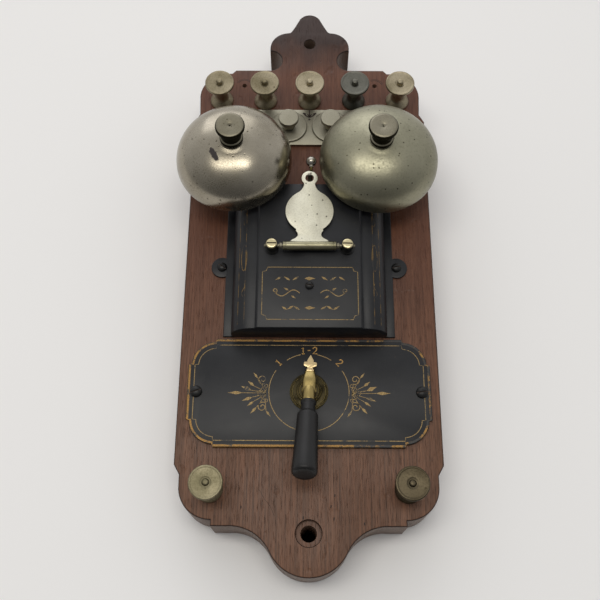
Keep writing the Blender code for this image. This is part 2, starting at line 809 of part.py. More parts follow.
def section(name, half, foot_h, z_range, finish=None):
    """A solid with a symmetric section in x and h, carried along the board's length."""
    side = half[-1][0]
    outline = mirrored([*half, (side, foot_h)])
    low, high = z_range
    solid = sheet(name, outline, (low, high), finish)
    # the outline's second axis becomes h, and its depth runs down the board
    solid.rotation_euler = (0.0, 0.0, 0.0)
    solid.matrix_world = Matrix.Translation((0.0, -BOARD_T * MM, (low + high) / 2 * MM)) @ Matrix(
        ((1, 0, 0, 0), (0, -1, 0, 0), (0, 0, -1, 0), (0, 0, 0, 1))
    )
    return solid


def make_cover():
    """The cover shell, with flange, screw ears, top slots for rod and latch, and screw holes."""
    cover = section("instrument_cover", cover_profile(), GAP, (COVER_BOTTOM, COVER_TOP), JAPAN)
    join(
        cover,
        block(
            "cover_flange",
            (-COVER_FLANGE_HALF, COVER_FLANGE_HALF),
            (GAP, GAP + COVER_FLANGE_T),
            (COVER_BOTTOM, COVER_TOP),
        ),
    )
    for side in (-1, 1):
        ear = [
            (0, GAP + COVER_FLANGE_T + 0.1),
            (EAR_R, GAP + COVER_FLANGE_T + 0.1),
            (EAR_R, GAP),
            (0, GAP),
        ]
        join(cover, turned(f"cover_ear_{side + 1}", ear, at(side * EAR_X, 0, EAR_Z), steps=24))
    inner = (COVER_BOTTOM + COVER_WALL, COVER_TOP - COVER_WALL)
    cut(cover, section("cover_inside", cover_profile(COVER_WALL), -1.0, inner))
    cut(
        cover,
        block("rod_slot", ROD_SLOT_X, ROD_SLOT_H, (COVER_TOP - 3, COVER_TOP + 1)),
        block(
            "latch_slot",
            (-LATCH_HUB_R - 1.0, LATCH_HUB_R + 1.0),
            (LATCH_SLOT_LOW_H, COVER_H - 2 * COVER_WALL),
            (COVER_TOP - 3, COVER_TOP + 1),
        ),
        bore(
            "centre_screw_hole",
            0,
            COVER_TOP - CENTRE_SCREW_BELOW_TOP,
            CENTRE_SCREW["shank_r"] + GAP,
            (COVER_H - 4, COVER_H + 2),
            12,
        ),
    )
    for side in (-1, 1):
        hole = EAR_SCREW["shank_r"] + GAP
        cut(cover, bore(f"ear_bore_{side + 1}", side * EAR_X, EAR_Z, hole, (-1, 4), 12))
    return cover


# --- Drop shutter, its hinge and its latch


def shutter_outline():
    """The shutter's outline about its hinge: foot, waist, disc, neck and ring."""
    centre = SHUTTER_DISC_ARM
    ring = SHUTTER_ARM
    low = math.degrees(math.asin(-12.0 / SHUTTER_DISC_R))
    high = math.degrees(math.acos(7.2 / SHUTTER_DISC_R))
    neck = 3.4
    ring_start = -math.degrees(math.acos(neck / SHUTTER_RING_R))
    half = [(11.4, 1.4), (11.6, 4.4), (9.0, 5.3), (7.5, 6.3)]
    half += [(6.9, 7.9), (7.1, 9.4), (8.1, 10.6), (8.1, 11.7)]
    half += arc(0, centre, SHUTTER_DISC_R, low, high, 14)
    half += [(5.2, centre + 14.2), (neck + 0.3, centre + 16.4)]
    half += arc(0, ring, SHUTTER_RING_R, ring_start, 90, 9)
    return mirrored(list(reversed(half)))


def make_shutter() -> None:
    """The drop shutter rolled round its hinge pin, the pin, its two lugs and their screws."""
    plate_back = SHUTTER_AXIS_H - SHUTTER_TUBE_R
    shutter = sheet(
        "drop_shutter",
        shutter_outline(),
        (plate_back, plate_back + SHUTTER_T),
        PALE_NICKEL,
        z=SHUTTER_AXIS_Z,
    )
    axis = at(0, SHUTTER_AXIS_H, SHUTTER_AXIS_Z)
    along = Vector((MM, 0.0, 0.0))
    ring_hole = bore("ring_hole", 0, RING_Z, SHUTTER_HOLE_R, (plate_back - 1, plate_back + 3))
    join(
        shutter,
        rod(
            "shutter_tube",
            axis - along * SHUTTER_TUBE_HALF,
            axis + along * SHUTTER_TUBE_HALF,
            SHUTTER_TUBE_R,
        ),
    )
    reach = along * (SHUTTER_TUBE_HALF + 2)
    cut(shutter, rod("tube_bore", axis - reach, axis + reach, HINGE_PIN_R + GAP, segments=16), ring_hole)
    pin_end = along * HINGE_PIN_HALF
    rod("shutter_hinge_pin", axis - pin_end, axis + pin_end, HINGE_PIN_R, NICKEL, segments=16)
    hang_on_axis("shutter_drop_axis", axis, shutter)
    for side, x in (("left", -HINGE_LUG_X), ("right", HINGE_LUG_X)):
        lug_profile = [
            (0, HINGE_LUG_TOP),
            (HINGE_LUG_R - 0.3, HINGE_LUG_TOP),
            (HINGE_LUG_R, HINGE_LUG_TOP - 0.3),
            (HINGE_LUG_R, COVER_H + GAP),
            (0, COVER_H + GAP),
        ]
        lug = turned("shutter_lug_" + side, lug_profile, at(x, 0, SHUTTER_AXIS_Z), JAPAN, steps=20)
        spot = at(x, SHUTTER_AXIS_H, SHUTTER_AXIS_Z)
        span = along * (HINGE_LUG_R + 1)
        screw_bore = (SHUTTER_AXIS_H, HINGE_LUG_TOP + 1)
        cut(
            lug,
            rod("lug_bore_" + side, spot - span, spot + span, HINGE_PIN_R + GAP, segments=16),
            bore("lug_screw_bore_" + side, x, SHUTTER_AXIS_Z, LUG_SCREW["shank_r"] + GAP, screw_bore, 12),
        )
        slotted_screw("shutter_lug_screw_" + side, x, SHUTTER_AXIS_Z, HINGE_LUG_TOP, LUG_SCREW, NICKEL)


def make_latch() -> None:
    """The bell-crank latch that holds the ring, its pin and bracket, and the coil that trips it."""
    pivot_z = LATCH_PIVOT_Z
    along = Vector((MM, 0.0, 0.0))
    centre = at(0, LATCH_PIVOT_H, pivot_z)
    arm_end = LATCH_ARM_X + LATCH_ARM_HALF
    latch = rod(
        "drop_latch",
        centre - along * LATCH_HUB_R,
        centre + along * arm_end,
        LATCH_HUB_R,
        NICKEL,
        segments=20,
    )
    strip_back = LATCH_PIVOT_H + 0.6
    strip = (strip_back, strip_back + LATCH_STRIP_T)
    finger_top = RING_Z + SHUTTER_HOLE_R - 0.5
    finger_low = finger_top - 1.2
    arm_h = (LATCH_PIVOT_H - 2.4, LATCH_PIVOT_H - 2.4 + LATCH_STRIP_T)
    arm_x = (LATCH_ARM_X - LATCH_ARM_HALF, arm_end - 0.2)
    coil_z = pivot_z - DROP_COIL_BELOW_PIVOT
    join(
        latch,
        block("latch_strip", (-LATCH_HUB_R + 0.1, LATCH_HUB_R - 0.1), strip, (pivot_z + 1, finger_top)),
        block(
            "latch_finger",
            (-LATCH_FINGER_HALF, LATCH_FINGER_HALF),
            (strip_back + 0.2, LATCH_FINGER_TIP_H),
            (finger_low, finger_top - 0.05),
        ),
        block("latch_armature", arm_x, arm_h, (coil_z - 7, pivot_z + 0.5)),
    )
    reach = along * (arm_end + 2)
    cut(latch, rod("latch_bore", centre - reach, centre + reach, LATCH_PIN_R + GAP, segments=16))
    ear_near = (arm_end + 0.4, arm_end + 1.8)
    ear_far = (ear_near[1] + 4.3, ear_near[1] + 5.7)
    floor = -WORKS_DEPTH + GAP
    base_top = floor + LATCH_STRIP_T
    rod(
        "latch_pin",
        centre - along * (LATCH_HUB_R + 1),
        centre + along * (ear_far[1] + 0.8),
        LATCH_PIN_R,
        BRASS,
        segments=16,
    )
    bracket = block(
        "drop_bracket",
        (DROP_COIL_X - DROP_COIL_R - 0.5, ear_far[1]),
        (floor, base_top),
        (coil_z - 9, pivot_z + 1.9),
        IRON,
    )
    ear_h = (base_top - 0.1, LATCH_PIVOT_H + 2.5)
    ear_z = (pivot_z - 3, pivot_z + 1.8)
    core_low = floor + 0.1
    core = [(0, DROP_CORE_TIP_H), (DROP_CORE_R, DROP_CORE_TIP_H), (DROP_CORE_R, core_low), (0, core_low)]
    join(
        bracket,
        block("bracket_ear_near", ear_near, ear_h, ear_z),
        block("bracket_ear_far", ear_far, ear_h, ear_z),
        turned("drop_core", core, at(DROP_COIL_X, 0, coil_z), steps=16),
    )
    ear_reach = along * (ear_far[1] + 3)
    cut(bracket, rod("ear_bore", centre, centre + ear_reach, LATCH_PIN_R + GAP, segments=16))
    coil_top = DROP_CORE_TIP_H - 1.6
    coil_low = base_top + GAP
    coil = [
        (DROP_CORE_R + GAP, coil_top),
        (DROP_COIL_R, coil_top),
        (DROP_COIL_R, coil_top - 1.2),
        (DROP_COIL_R - 1.0, coil_top - 1.2),
        (DROP_COIL_R - 1.0, coil_low + 1.2),
        (DROP_COIL_R, coil_low + 1.2),
        (DROP_COIL_R, coil_low),
        (DROP_CORE_R + GAP, coil_low),
    ]
    turned("drop_coil", coil, at(DROP_COIL_X, 0, coil_z), COPPER_WIRE, steps=16)
    hang_on_axis("latch_release_axis", centre, bpy.data.objects["drop_latch"])


# --- Bell works


def make_bell_works() -> None:
    """Frame, magnet, yoke with two cores, coils, rocking armature, clapper rod and ball."""
    floor = -WORKS_DEPTH + GAP
    frame_top = floor + 1.4
    pole_z = ARMATURE_Z - ARMATURE_T / 2 - POLE_GAP
    coil_top = pole_z - 1.5
    coil_low = coil_top - BELL_COIL_LENGTH
    bar = (coil_low - 3.8, coil_low - 0.5)
    yoke_h = (BELL_COIL_H - 4.5, BELL_COIL_H + 4.5)
    frame = block("bell_frame", (-23, 23), (floor, frame_top), (bar[0], ARMATURE_Z + 6), IRON)
    lug_h = (frame_top - 0.1, yoke_h[0] - GAP)
    join(frame, block("frame_lug", (-6, 6), lug_h, (bar[0] + 0.1, bar[1])))
    yoke = block("bell_yoke", (-20, 20), yoke_h, bar, IRON)
    for side, x in (("left", -BELL_COIL_X), ("right", BELL_COIL_X)):
        core = [
            (0, pole_z),
            (BELL_CORE_R, pole_z),
            (BELL_CORE_R, bar[0] + 1),
            (0, bar[0] + 1),
        ]
        middle = at(x, BELL_COIL_H, 0)
        join(yoke, turned("bell_core_" + side, core, middle, tilt=UP, steps=16))
        coil = [
            (BELL_CORE_R + GAP, coil_top),
            (BELL_COIL_R, coil_top),
            (BELL_COIL_R, coil_top - 1.2),
            (BELL_COIL_R - 0.8, coil_top - 1.2),
            (BELL_COIL_R - 0.8, coil_low + 1.2),
            (BELL_COIL_R, coil_low + 1.2),
            (BELL_COIL_R, coil_low),
            (BELL_CORE_R + GAP, coil_low),
        ]
        turned("bell_coil_" + side, coil, middle, COPPER_WIRE, tilt=UP, steps=16)
    magnet_h = (frame_top + GAP, BELL_COIL_H - 6)
    block("bell_magnet", (-4.2, 4.2), magnet_h, (bar[1] + 0.8, coil_top - 0.5), IRON)
    pivot = [
        (0, 2.6),
        (PIVOT_R * 2, 2.6),
        (PIVOT_R * 2, 1.2),
        (PIVOT_R, 1.2),
        (PIVOT_R, frame_top + GAP),
        (0, frame_top + GAP),
    ]
    turned("armature_pivot", pivot, at(0, 0, ARMATURE_Z), BRASS, steps=16)
    armature = block(
        "bell_armature",
        (-ARMATURE_HALF, ARMATURE_HALF),
        (BELL_COIL_H - 3.5, BELL_COIL_H + 4.0),
        (ARMATURE_Z - ARMATURE_T / 2, ARMATURE_Z + ARMATURE_T / 2),
        IRON,
    )
    hub_h = (BELL_COIL_H - 4.0, BELL_COIL_H + 4.3)
    hub = [(0, hub_h[1]), (ARMATURE_HUB_R, hub_h[1]), (ARMATURE_HUB_R, hub_h[0]), (0, hub_h[0])]
    join(armature, turned("armature_hub", hub, at(0, 0, ARMATURE_Z), steps=24))
    socket_low = ARMATURE_Z + ARMATURE_HUB_R - 1.6
    rod_h = BELL_COIL_H + 1.5
    socket = rod(
        "rod_socket",
        at(0, rod_h, socket_low),
        at(0, rod_h, ARMATURE_Z + ARMATURE_HUB_R + 2),
        CLAPPER_ROD_R + GAP,
        segments=12,
    )
    cut(armature, bore("pivot_bore", 0, ARMATURE_Z, PIVOT_R + GAP, (-14, 4), 16), socket)
    clapper_route = [
        (0, rod_h, socket_low + GAP),
        (0.05, rod_h, ARMATURE_Z + 12),
        (0.25, rod_h + 3.5, ARMATURE_Z + 25),
        (0.5, 6.0, ARMATURE_Z + 40),
        (0.7, 6.4, COVER_TOP + 1),
        (0.8, 8.2, COVER_TOP + 5),
        (0.9, 13.0, GONG_Z - 6.4),
        (BALL_X, BALL_H - 1.6, GONG_Z - 5.0),
        (BALL_X, BALL_H, GONG_Z - 3.4),
        (BALL_X, BALL_H, GONG_Z - 1.2),
    ]
    clapper = wire("clapper_rod", clapper_route, CLAPPER_ROD_R, BRASS)
    ball = [
        (BALL_R * math.sin(math.radians(20 * i)), BALL_R * math.cos(math.radians(20 * i)))
        for i in range(9)
    ]
    ball = [(0.0, BALL_R), *ball[1:], (0.0, -BALL_R)]
    head = turned("clapper_ball", ball, at(BALL_X, BALL_H, GONG_Z), NICKEL, tilt=UP, steps=14)
    ball_bore = rod(
        "ball_bore",
        at(BALL_X, BALL_H, GONG_Z - BALL_R - 1),
        at(BALL_X, BALL_H, GONG_Z - 0.8),
        CLAPPER_ROD_R + GAP,
        segments=12,
    )
    cut(head, ball_bore)
    hang_on_axis("clapper_swing_axis", at(0, 0, ARMATURE_Z), armature, clapper, head)


# --- Dial plate and selector


def plate_outline():
    """The dial plate: a rectangle whose round corners step in a little."""
    half_w, half_h = PLATE_HALF_W, PLATE_H / 2
    corner_x, corner_z = half_w - PLATE_CORNER, half_h - PLATE_CORNER
    turn_r = PLATE_CORNER - PLATE_CORNER_STEP
    top = [(corner_x, half_h), *arc(corner_x, corner_z, turn_r, 86, 4, 9), (half_w, corner_z)]
    bottom = [(x, -z) for x, z in reversed(top)]
    return mirrored(top + bottom)


def pointer_outline():
    """The pointer finial above the hub: a bar, a cross and a leaf tip."""
    bar_top = POINTER_RISE - 9.3
    half = [
        (0.0, POINTER_RISE),
        (1.7, POINTER_RISE - 3.2),
        (1.1, POINTER_RISE - 5.0),
        (3.7, POINTER_RISE - 5.2),
        (3.7, POINTER_RISE - 6.6),
        (1.2, POINTER_RISE - 7.0),
        (1.6, bar_top),
        (POINTER_HALF, bar_top - 0.8),
        (POINTER_HALF, -5.0),
        (0.0, -6.5),
    ]
    return mirrored(half)


def make_dial() -> None:
    """Dial plate with its screws, boss, spindle, selector lever and contacts."""
    plate = sheet("dial_plate", plate_outline(), (GAP, PLATE_FRONT_H), JAPAN, z=DIAL_Z)
    cut(plate, bore("dial_bore", 0, DIAL_Z, BOSS_TAIL_R + GAP, (-1, 4), 24))
    for side, turn in ((-1, -20.0), (1, -8.0)):
        name = "left" if side < 0 else "right"
        x = side * (PLATE_HALF_W - PLATE_SCREW_INSET)
        hole = PLATE_SCREW["shank_r"] + GAP
        cut(plate, bore("plate_bore_" + name, x, DIAL_Z, hole, (-1, 4), 12))
        slotted_screw("dial_plate_screw_" + name, x, DIAL_Z, PLATE_FRONT_H, PLATE_SCREW, JAPAN, turn)
    place = at(0, 0, DIAL_Z)
    boss_low = PLATE_FRONT_H + GAP
    ring_top = HUB_BACK_H - 0.4
    boss = [
        (SPINDLE_COLLAR_R + GAP, ring_top),
        (BOSS_RING_R - 0.4, ring_top),
        (BOSS_RING_R, ring_top - 0.4),
        (BOSS_RING_R, boss_low + 1.3),
        (BOSS_R - 0.4, boss_low + 1.1),
        (BOSS_R, boss_low + 0.7),
        (BOSS_R, boss_low),
        (BOSS_TAIL_R, boss_low),
        (BOSS_TAIL_R, -2.0),
        (SPINDLE_COLLAR_R + GAP, -2.0),
    ]
    turned("selector_boss", boss, place, BRASS, steps=20)
    wiper_h = (-6.0, -4.8)
    spindle = [
        (0, HUB_FRONT_H - 1.6),
        (SPINDLE_R, HUB_FRONT_H - 1.6),
        (SPINDLE_R, HUB_BACK_H - 0.2),
        (SPINDLE_COLLAR_R, HUB_BACK_H - 0.2),
        (SPINDLE_COLLAR_R, -2.4),
        (SPINDLE_R, -2.4),
        (SPINDLE_R, wiper_h[0] - 1.6),
        (0, wiper_h[0] - 1.6),
    ]
    shaft = turned("selector_spindle", spindle, place, IRON, steps=12)
    hub = sheet("selector_pointer", pointer_outline(), (HUB_BACK_H + 2.0, HUB_BACK_H + 4.2), BRASS, z=DIAL_Z)
    hub_profile = [(0, HUB_FRONT_H), (HUB_R, HUB_FRONT_H - 1), (HUB_R, HUB_BACK_H), (0, HUB_BACK_H)]
    lever_root = at(0, (HUB_BACK_H + HUB_FRONT_H) / 2, DIAL_Z)
    lean = math.radians(HANDLE_TILT)
    down = Vector((0.0, -math.sin(lean), -math.cos(lean))) * MM
    bar = (HUB_BACK_H + 0.8, HUB_FRONT_H - 0.4)
    bar_x = (-POINTER_HALF + 0.05, POINTER_HALF - 0.05)
    join(
        hub,
        turned("hub_boss", hub_profile, place, steps=24),
        block("hub_bar", bar_x, bar, (DIAL_Z - 4.0, DIAL_Z + POINTER_RISE - 10.4)),
        rod("hub_socket", lever_root, lever_root + down * (HANDLE_START - GAP), 3.6, segments=20),
        rod("hub_tang", lever_root, lever_root + down * (HANDLE_START + 14), TANG_R, segments=16),
    )
    cut(hub, bore("hub_bore", 0, DIAL_Z, SPINDLE_R + GAP, (HUB_BACK_H - 1, HUB_FRONT_H - 1.3), 16))
    end, start = HANDLE_REACH, HANDLE_START
    tang_hole = TANG_R + GAP
    handle = [
        (0, end),
        (GRIP_R - 1.6, end - 0.2),
        (GRIP_R - 0.3, end - 1.4),
        (GRIP_R, end - 3.4),
        (GRIP_R - 0.4, end - 12),
        (5.9, start + 13),
        (5.6, start + 9.5),
        (5.9, start + 8.4),
        (5.2, start + 7.4),
        (FERRULE_R, start + 6.4),
        (FERRULE_R, start + 0.5),
        (FERRULE_R - 0.5, start),
        (tang_hole, start),
        (tang_hole, start + 15),
        (0, start + 15),
    ]
    grip = turned("selector_handle", handle, lever_root, EBONITE, tilt=180.0 - HANDLE_TILT, steps=16)
    wiper_outline = arc(0, CONTACT_ARM, 2.6, 0, 180, 9) + arc(0, 0, 4.6, 145, 395, 14)
    wiper = sheet("selector_wiper", wiper_outline, wiper_h, BRASS, z=DIAL_Z)
    cut(wiper, bore("wiper_bore", 0, DIAL_Z, SPINDLE_R + GAP, (wiper_h[0] - 1, wiper_h[1] + 1), 16))
    hang_on_axis("selector_turn_axis", place, hub, grip, shaft, wiper)
    pad = wiper_h[0] - GAP - 0.1
    floor = -DIAL_POCKET_DEPTH + GAP
    for name, angle in CONTACT_ANGLES.items():
        turn = math.radians(angle)
        stud = [
            (0, pad),
            (PAD_R, pad),
            (PAD_R, pad - PAD_T),
            (PAD_STEM_R, pad - PAD_T),
            (PAD_STEM_R, floor + PAD_T),
            (PAD_BASE_R, floor + PAD_T),
            (PAD_BASE_R, floor),
            (0, floor),
        ]
        spot = at(CONTACT_ARM * math.sin(turn), 0, DIAL_Z + CONTACT_ARM * math.cos(turn))
        turned("contact_line_" + name, stud, spot, BRASS, steps=10)


def make_cover_screws() -> None:
    """The screws in the cover's ears and the one in the middle of its front."""
    ear_top = GAP + COVER_FLANGE_T + 0.1
    slotted_screw("cover_screw_left", -EAR_X, EAR_Z, ear_top, EAR_SCREW, JAPAN, 35.0)
    slotted_screw("cover_screw_right", EAR_X, EAR_Z, ear_top, EAR_SCREW, JAPAN, -12.0)
    slotted_screw(
        "cover_centre_screw", 0, COVER_TOP - CENTRE_SCREW_BELOW_TOP, COVER_H, CENTRE_SCREW, JAPAN, 8.0
    )


def main() -> None:
    """Build the whole set."""
    clear_scene()
    make_board()
    for name, (x, z, seat) in terminal_places().items():
        make_terminal(name, x, z, seat)
    make_arrester()
    for (side, x, z), radius in zip(gong_places(), (GONG_LEFT_R, GONG_RIGHT_R)):
        make_gong(side, x, z, radius)
    make_cover()
    make_cover_screws()
    make_shutter()
    make_latch()
    make_bell_works()
    make_dial()


main()
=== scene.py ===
"""Looks of a wall telephone bell set: a walnut board with two gongs and a line switch.

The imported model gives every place, in metres: +Z runs up the board and the front faces -Y.
Sizes inside the classes are millimetres, x across, z up, and h forwards of the board's front.
"""

import logging
import math
from dataclasses import dataclass
from enum import Enum

import bmesh
import bpy
from mathutils import Matrix, Vector


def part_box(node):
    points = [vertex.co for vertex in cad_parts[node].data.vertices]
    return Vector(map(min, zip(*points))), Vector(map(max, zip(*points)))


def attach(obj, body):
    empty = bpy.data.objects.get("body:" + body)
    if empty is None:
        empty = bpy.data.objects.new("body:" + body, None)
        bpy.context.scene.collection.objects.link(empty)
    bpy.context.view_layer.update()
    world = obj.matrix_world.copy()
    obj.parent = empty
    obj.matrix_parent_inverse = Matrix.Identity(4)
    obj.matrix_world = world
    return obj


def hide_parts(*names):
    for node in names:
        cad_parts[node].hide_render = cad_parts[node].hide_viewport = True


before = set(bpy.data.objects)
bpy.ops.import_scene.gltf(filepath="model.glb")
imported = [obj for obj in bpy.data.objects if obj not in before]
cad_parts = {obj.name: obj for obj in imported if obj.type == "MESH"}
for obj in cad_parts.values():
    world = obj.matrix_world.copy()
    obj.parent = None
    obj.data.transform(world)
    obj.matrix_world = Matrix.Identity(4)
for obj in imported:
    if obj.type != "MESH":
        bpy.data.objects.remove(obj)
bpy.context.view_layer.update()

MM = 0.001
TINY = 1e-6
SHARP = math.radians(38)
RIM_ANGLE = math.radians(40)
BOARD_FRONT_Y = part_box("backboard")[0].y
BOARD_BACK_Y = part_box("backboard")[1].y
PAINT_PROUD = 0.045  # how far paint stands off its surface, and how far it is sunk in it, in mm
PAINT_SUNK = 0.05
LOG = logging.getLogger("bell_set")

Point = tuple[float, float]
Triple = tuple[float, float, float]
Socket = bpy.types.NodeSocket
Value = float | Socket
Colour = str | Socket


class Axis(Enum):
    """The direction in which a turned piece's heights grow."""

    FRONT = (0.0, -1.0, 0.0)
    RIGHT = (1.0, 0.0, 0.0)
    UP = (0.0, 0.0, 1.0)


# --- Places and outlines


def place(x: float, h: float, z: float) -> Vector:
    """A world point from millimetres, with h forwards of the board's front face."""
    return Vector((x * MM, BOARD_FRONT_Y - h * MM, z * MM))


def centre_of(node: str) -> Point:
    """The middle of a CAD node's box across and up the board, in millimetres."""
    low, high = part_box(node)
    return ((low.x + high.x) / 2 / MM, (low.z + high.z) / 2 / MM)


def front_of(node: str) -> float:
    """How far a CAD node stands forwards of the board's front, in millimetres."""
    return (BOARD_FRONT_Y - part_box(node)[0].y) / MM


def arc(centre: Point, radius: float, start: float, end: float, count: int) -> list[Point]:
    """Points along an arc.

    Args:
        centre: The arc's centre.
        radius: Its radius.
        start: The first angle in degrees, counted from +x towards +z.
        end: The last angle in degrees.
        count: How many points, both ends included.

    Returns:
        The points in order.
    """
    angles = [math.radians(start + (end - start) * i / (count - 1)) for i in range(count)]
    return [(centre[0] + radius * math.cos(a), centre[1] + radius * math.sin(a)) for a in angles]


def mirrored(half: list[Point]) -> list[Point]:
    """A closed outline from its right half, with the points on the middle line kept once."""
    return half + [(-x, z) for x, z in reversed(half) if x > TINY]


def eased(path: list[Point], radius: float, steps: int = 3, closed: bool = False) -> list[Point]:
    """Round the corners of a path.

    Args:
        path: The corners in order.
        radius: How far back from a corner its curve starts.
        steps: Segments in each curve.
        closed: Whether the last point joins the first.

    Returns:
        The path with a small curve at each corner that turns.
    """
    result: list[Point] = []
    for i, corner in enumerate(path):
        if not closed and i in (0, len(path) - 1):
            result.append(corner)
            continue
        here = Vector(corner)
        back = Vector(path[i - 1]) - here
        on = Vector(path[(i + 1) % len(path)]) - here
        if back.length < TINY or on.length < TINY or (-back).angle(on) < 0.2:
            result.append(corner)
            continue
        start = here + back.normalized() * min(radius, 0.42 * back.length)
        end = here + on.normalized() * min(radius, 0.42 * on.length)
        for k in range(steps + 1):
            t = k / steps
            point = start * (1 - t) ** 2 + here * 2 * t * (1 - t) + end * t**2
            result.append((point.x, point.y))
    return result


def inset(outline: list[Point], distance: float) -> list[Point]:
    """Draw an outline inwards.

    Args:
        outline: The closed outline, in either direction.
        distance: How far inwards.

    Returns:
        The outline without the points that would come nearer to the old one than the distance.
    """
    count = len(outline)
    area = sum(outline[i - 1][0] * outline[i][1] - outline[i][0] * outline[i - 1][1] for i in range(count))
    result = []
    for i, here in enumerate(outline):
        run = Vector(outline[(i + 1) % count]) - Vector(outline[i - 1])
        inward = Vector((-run.y, run.x)).normalized() * math.copysign(distance, area)
        spot = (here[0] + inward.x, here[1] + inward.y)
        if all(math.dist(spot, other) > distance * 0.97 for other in outline):
            result.append(spot)
    return result


# --- Meshes


def as_mesh(bm: bmesh.types.BMesh) -> bpy.types.Mesh:
    """Store a bmesh with its faces turned outwards, and free it."""
    bmesh.ops.recalc_face_normals(bm, faces=bm.faces)
    mesh = bpy.data.meshes.new("shape")
    bm.to_mesh(mesh)
    bm.free()
    return mesh


def turned(
    profile: list[Point],
    centre: Vector,
    axis: Axis | Vector = Axis.FRONT,
    steps: int = 72,
    flutes: Triple | None = None,
) -> bpy.types.Mesh:
    """A turned shape.

    Args:
        profile: (radius, height) pairs. One that leaves the axis free is closed round its bore.
        centre: Where height 0 is on the axis.
        axis: The way in which heights grow.
        steps: How many sides the shape has.
        flutes: (lowest height, highest height, depth) of straight knurling, if it has any.

    Returns:
        The closed mesh.
    """
    along = Vector(axis.value if isinstance(axis, Axis) else axis).normalized()
    across = Vector((1, 0, 0)) if abs(along.x) < 0.9 else Vector((0, 0, 1))
    across = (across - along * across.dot(along)).normalized()
    third = along.cross(across)
    bm = bmesh.new()
    rings = []
    for radius, height in profile:
        middle = centre + along * (height * MM)
        if radius < TINY:
            rings.append([bm.verts.new(middle)])
            continue
        cut = flutes[2] if flutes and flutes[0] <= height <= flutes[1] else 0.0
        ring = []
        for i in range(steps):
            angle = math.tau * i / steps
            reach = (radius - (cut if i % 2 else 0.0)) * MM
            ring.append(bm.verts.new(middle + (across * math.cos(angle) + third * math.sin(angle)) * reach))
        rings.append(ring)
    if len(rings[0]) > 1 and len(rings[-1]) > 1:
        rings.append(rings[0])
    for one, two in zip(rings, rings[1:]):
        bridge(bm, one, two)
    return as_mesh(bm)


def bridge(bm: bmesh.types.BMesh, one: list, two: list) -> None:
    """Join two rings of vertices with faces; either may be a single point."""
    count = max(len(one), len(two))
    if count == 1:
        return
    for i in range(count):
        j = (i + 1) % count
        if len(one) == 1:
            bm.faces.new((one[0], two[i], two[j]))
        elif len(two) == 1:
            bm.faces.new((one[i], one[j], two[0]))
        else:
            bm.faces.new((one[i], one[j], two[j], two[i]))


def prism(
    low: list[Vector], high: list[Vector], edge: float = 0.0, segments: int = 2, both: bool = True
) -> bpy.types.Mesh:
    """A solid between two like loops of points.

    Args:
        low: The first loop.
        high: The loop opposite, point for point.
        edge: The width of the rounding on its sharp edges, in millimetres.
        segments: Segments in that rounding.
        both: Whether the first loop's rim is rounded too.

    Returns:
        The closed mesh.
    """
    bm = bmesh.new()
    first = [bm.verts.new(p) for p in low]
    second = [bm.verts.new(p) for p in high]
    bm.faces.new(first)
    bm.faces.new(second[::-1])
    bridge(bm, first, second)
    bmesh.ops.recalc_face_normals(bm, faces=bm.faces)
    if edge:
        far = set(second)
        rim = [
            e
            for e in bm.edges
            if e.calc_face_angle(0.0) > RIM_ANGLE and (both or all(v in far for v in e.verts))
        ]
        bmesh.ops.bevel(
            bm, geom=rim, offset=edge * MM, segments=segments, profile=0.5, affect="EDGES", clamp_overlap=True
        )
    return as_mesh(bm)


def slab(
    outline: list[Point], low: float, high: float, edge: float = 0.3, both: bool = True, segments: int = 2
) -> bpy.types.Mesh:
    """A flat plate between two heights off the board.

    Args:
        outline: Its (x, z) outline.
        low: The height of its back.
        high: The height of its front.
        edge: The width of its eased edges.
        both: Whether the back edge is eased too.
        segments: Segments in that edge.

    Returns:
        The closed mesh.
    """
    lower = [place(x, low, z) for x, z in outline]
    upper = [place(x, high, z) for x, z in outline]
    return prism(lower, upper, edge, segments, both)


def section(outline: list[Point], z_low: float, z_high: float, edge: float = 0.0) -> bpy.types.Mesh:
    """A solid whose (x, h) outline is carried up the board from one z to another."""
    lower = [place(x, h, z_low) for x, h in outline]
    upper = [place(x, h, z_high) for x, h in outline]
    return prism(lower, upper, edge)


def block(x: Point, h: Point, z: Point, edge: float = 0.0) -> bpy.types.Mesh:
    """A rectangular block between two limits on each axis."""
    outline = [(x[0], z[0]), (x[1], z[0]), (x[1], z[1]), (x[0], z[1])]
    return slab(outline, h[0], h[1], edge)


def drill(x: float, z: float, radius: float, low: float, mouth: float, ease: float = 0.35) -> bpy.types.Mesh:
    """A round cutter into a face, wider at its mouth so that the hole's edge is eased."""
    above = mouth + 2.0
    profile = [(0, above), (radius + ease + 2.0, above), (radius + ease * 0.4, mouth - ease * 0.4)]
    profile += [(radius, mouth - ease), (radius, low), (0, low)]
    return turned(profile, place(x, 0, z), steps=48)


def carve(blank: bpy.types.Mesh, cutters: list[bpy.types.Mesh]) -> bpy.types.Mesh:
    """Cut closed meshes out of another one.

    Args:
        blank: The mesh to cut.
        cutters: The meshes to take away.

    Returns:
        A new mesh with the cuts made.
    """
    body = bpy.data.objects.new("blank", blank)
    bpy.context.scene.collection.objects.link(body)
    tools = []
    for cutter in cutters:
        tool = bpy.data.objects.new("tool", cutter)
        bpy.context.scene.collection.objects.link(tool)
        step = body.modifiers.new("cut", "BOOLEAN")
        step.operation = "DIFFERENCE"
        step.solver = "EXACT"
        step.object = tool
        tools.append(tool)
    graph = bpy.context.evaluated_depsgraph_get()
    result = bpy.data.meshes.new_from_object(body.evaluated_get(graph))
    for spare in (body, *tools):
        bpy.data.objects.remove(spare)
    return result


def merged(meshes: list[bpy.types.Mesh]) -> bpy.types.Mesh:
    """One mesh that holds several separate shells."""
    bm = bmesh.new()
    for mesh in meshes:
        bm.from_mesh(mesh)
    return as_mesh(bm)


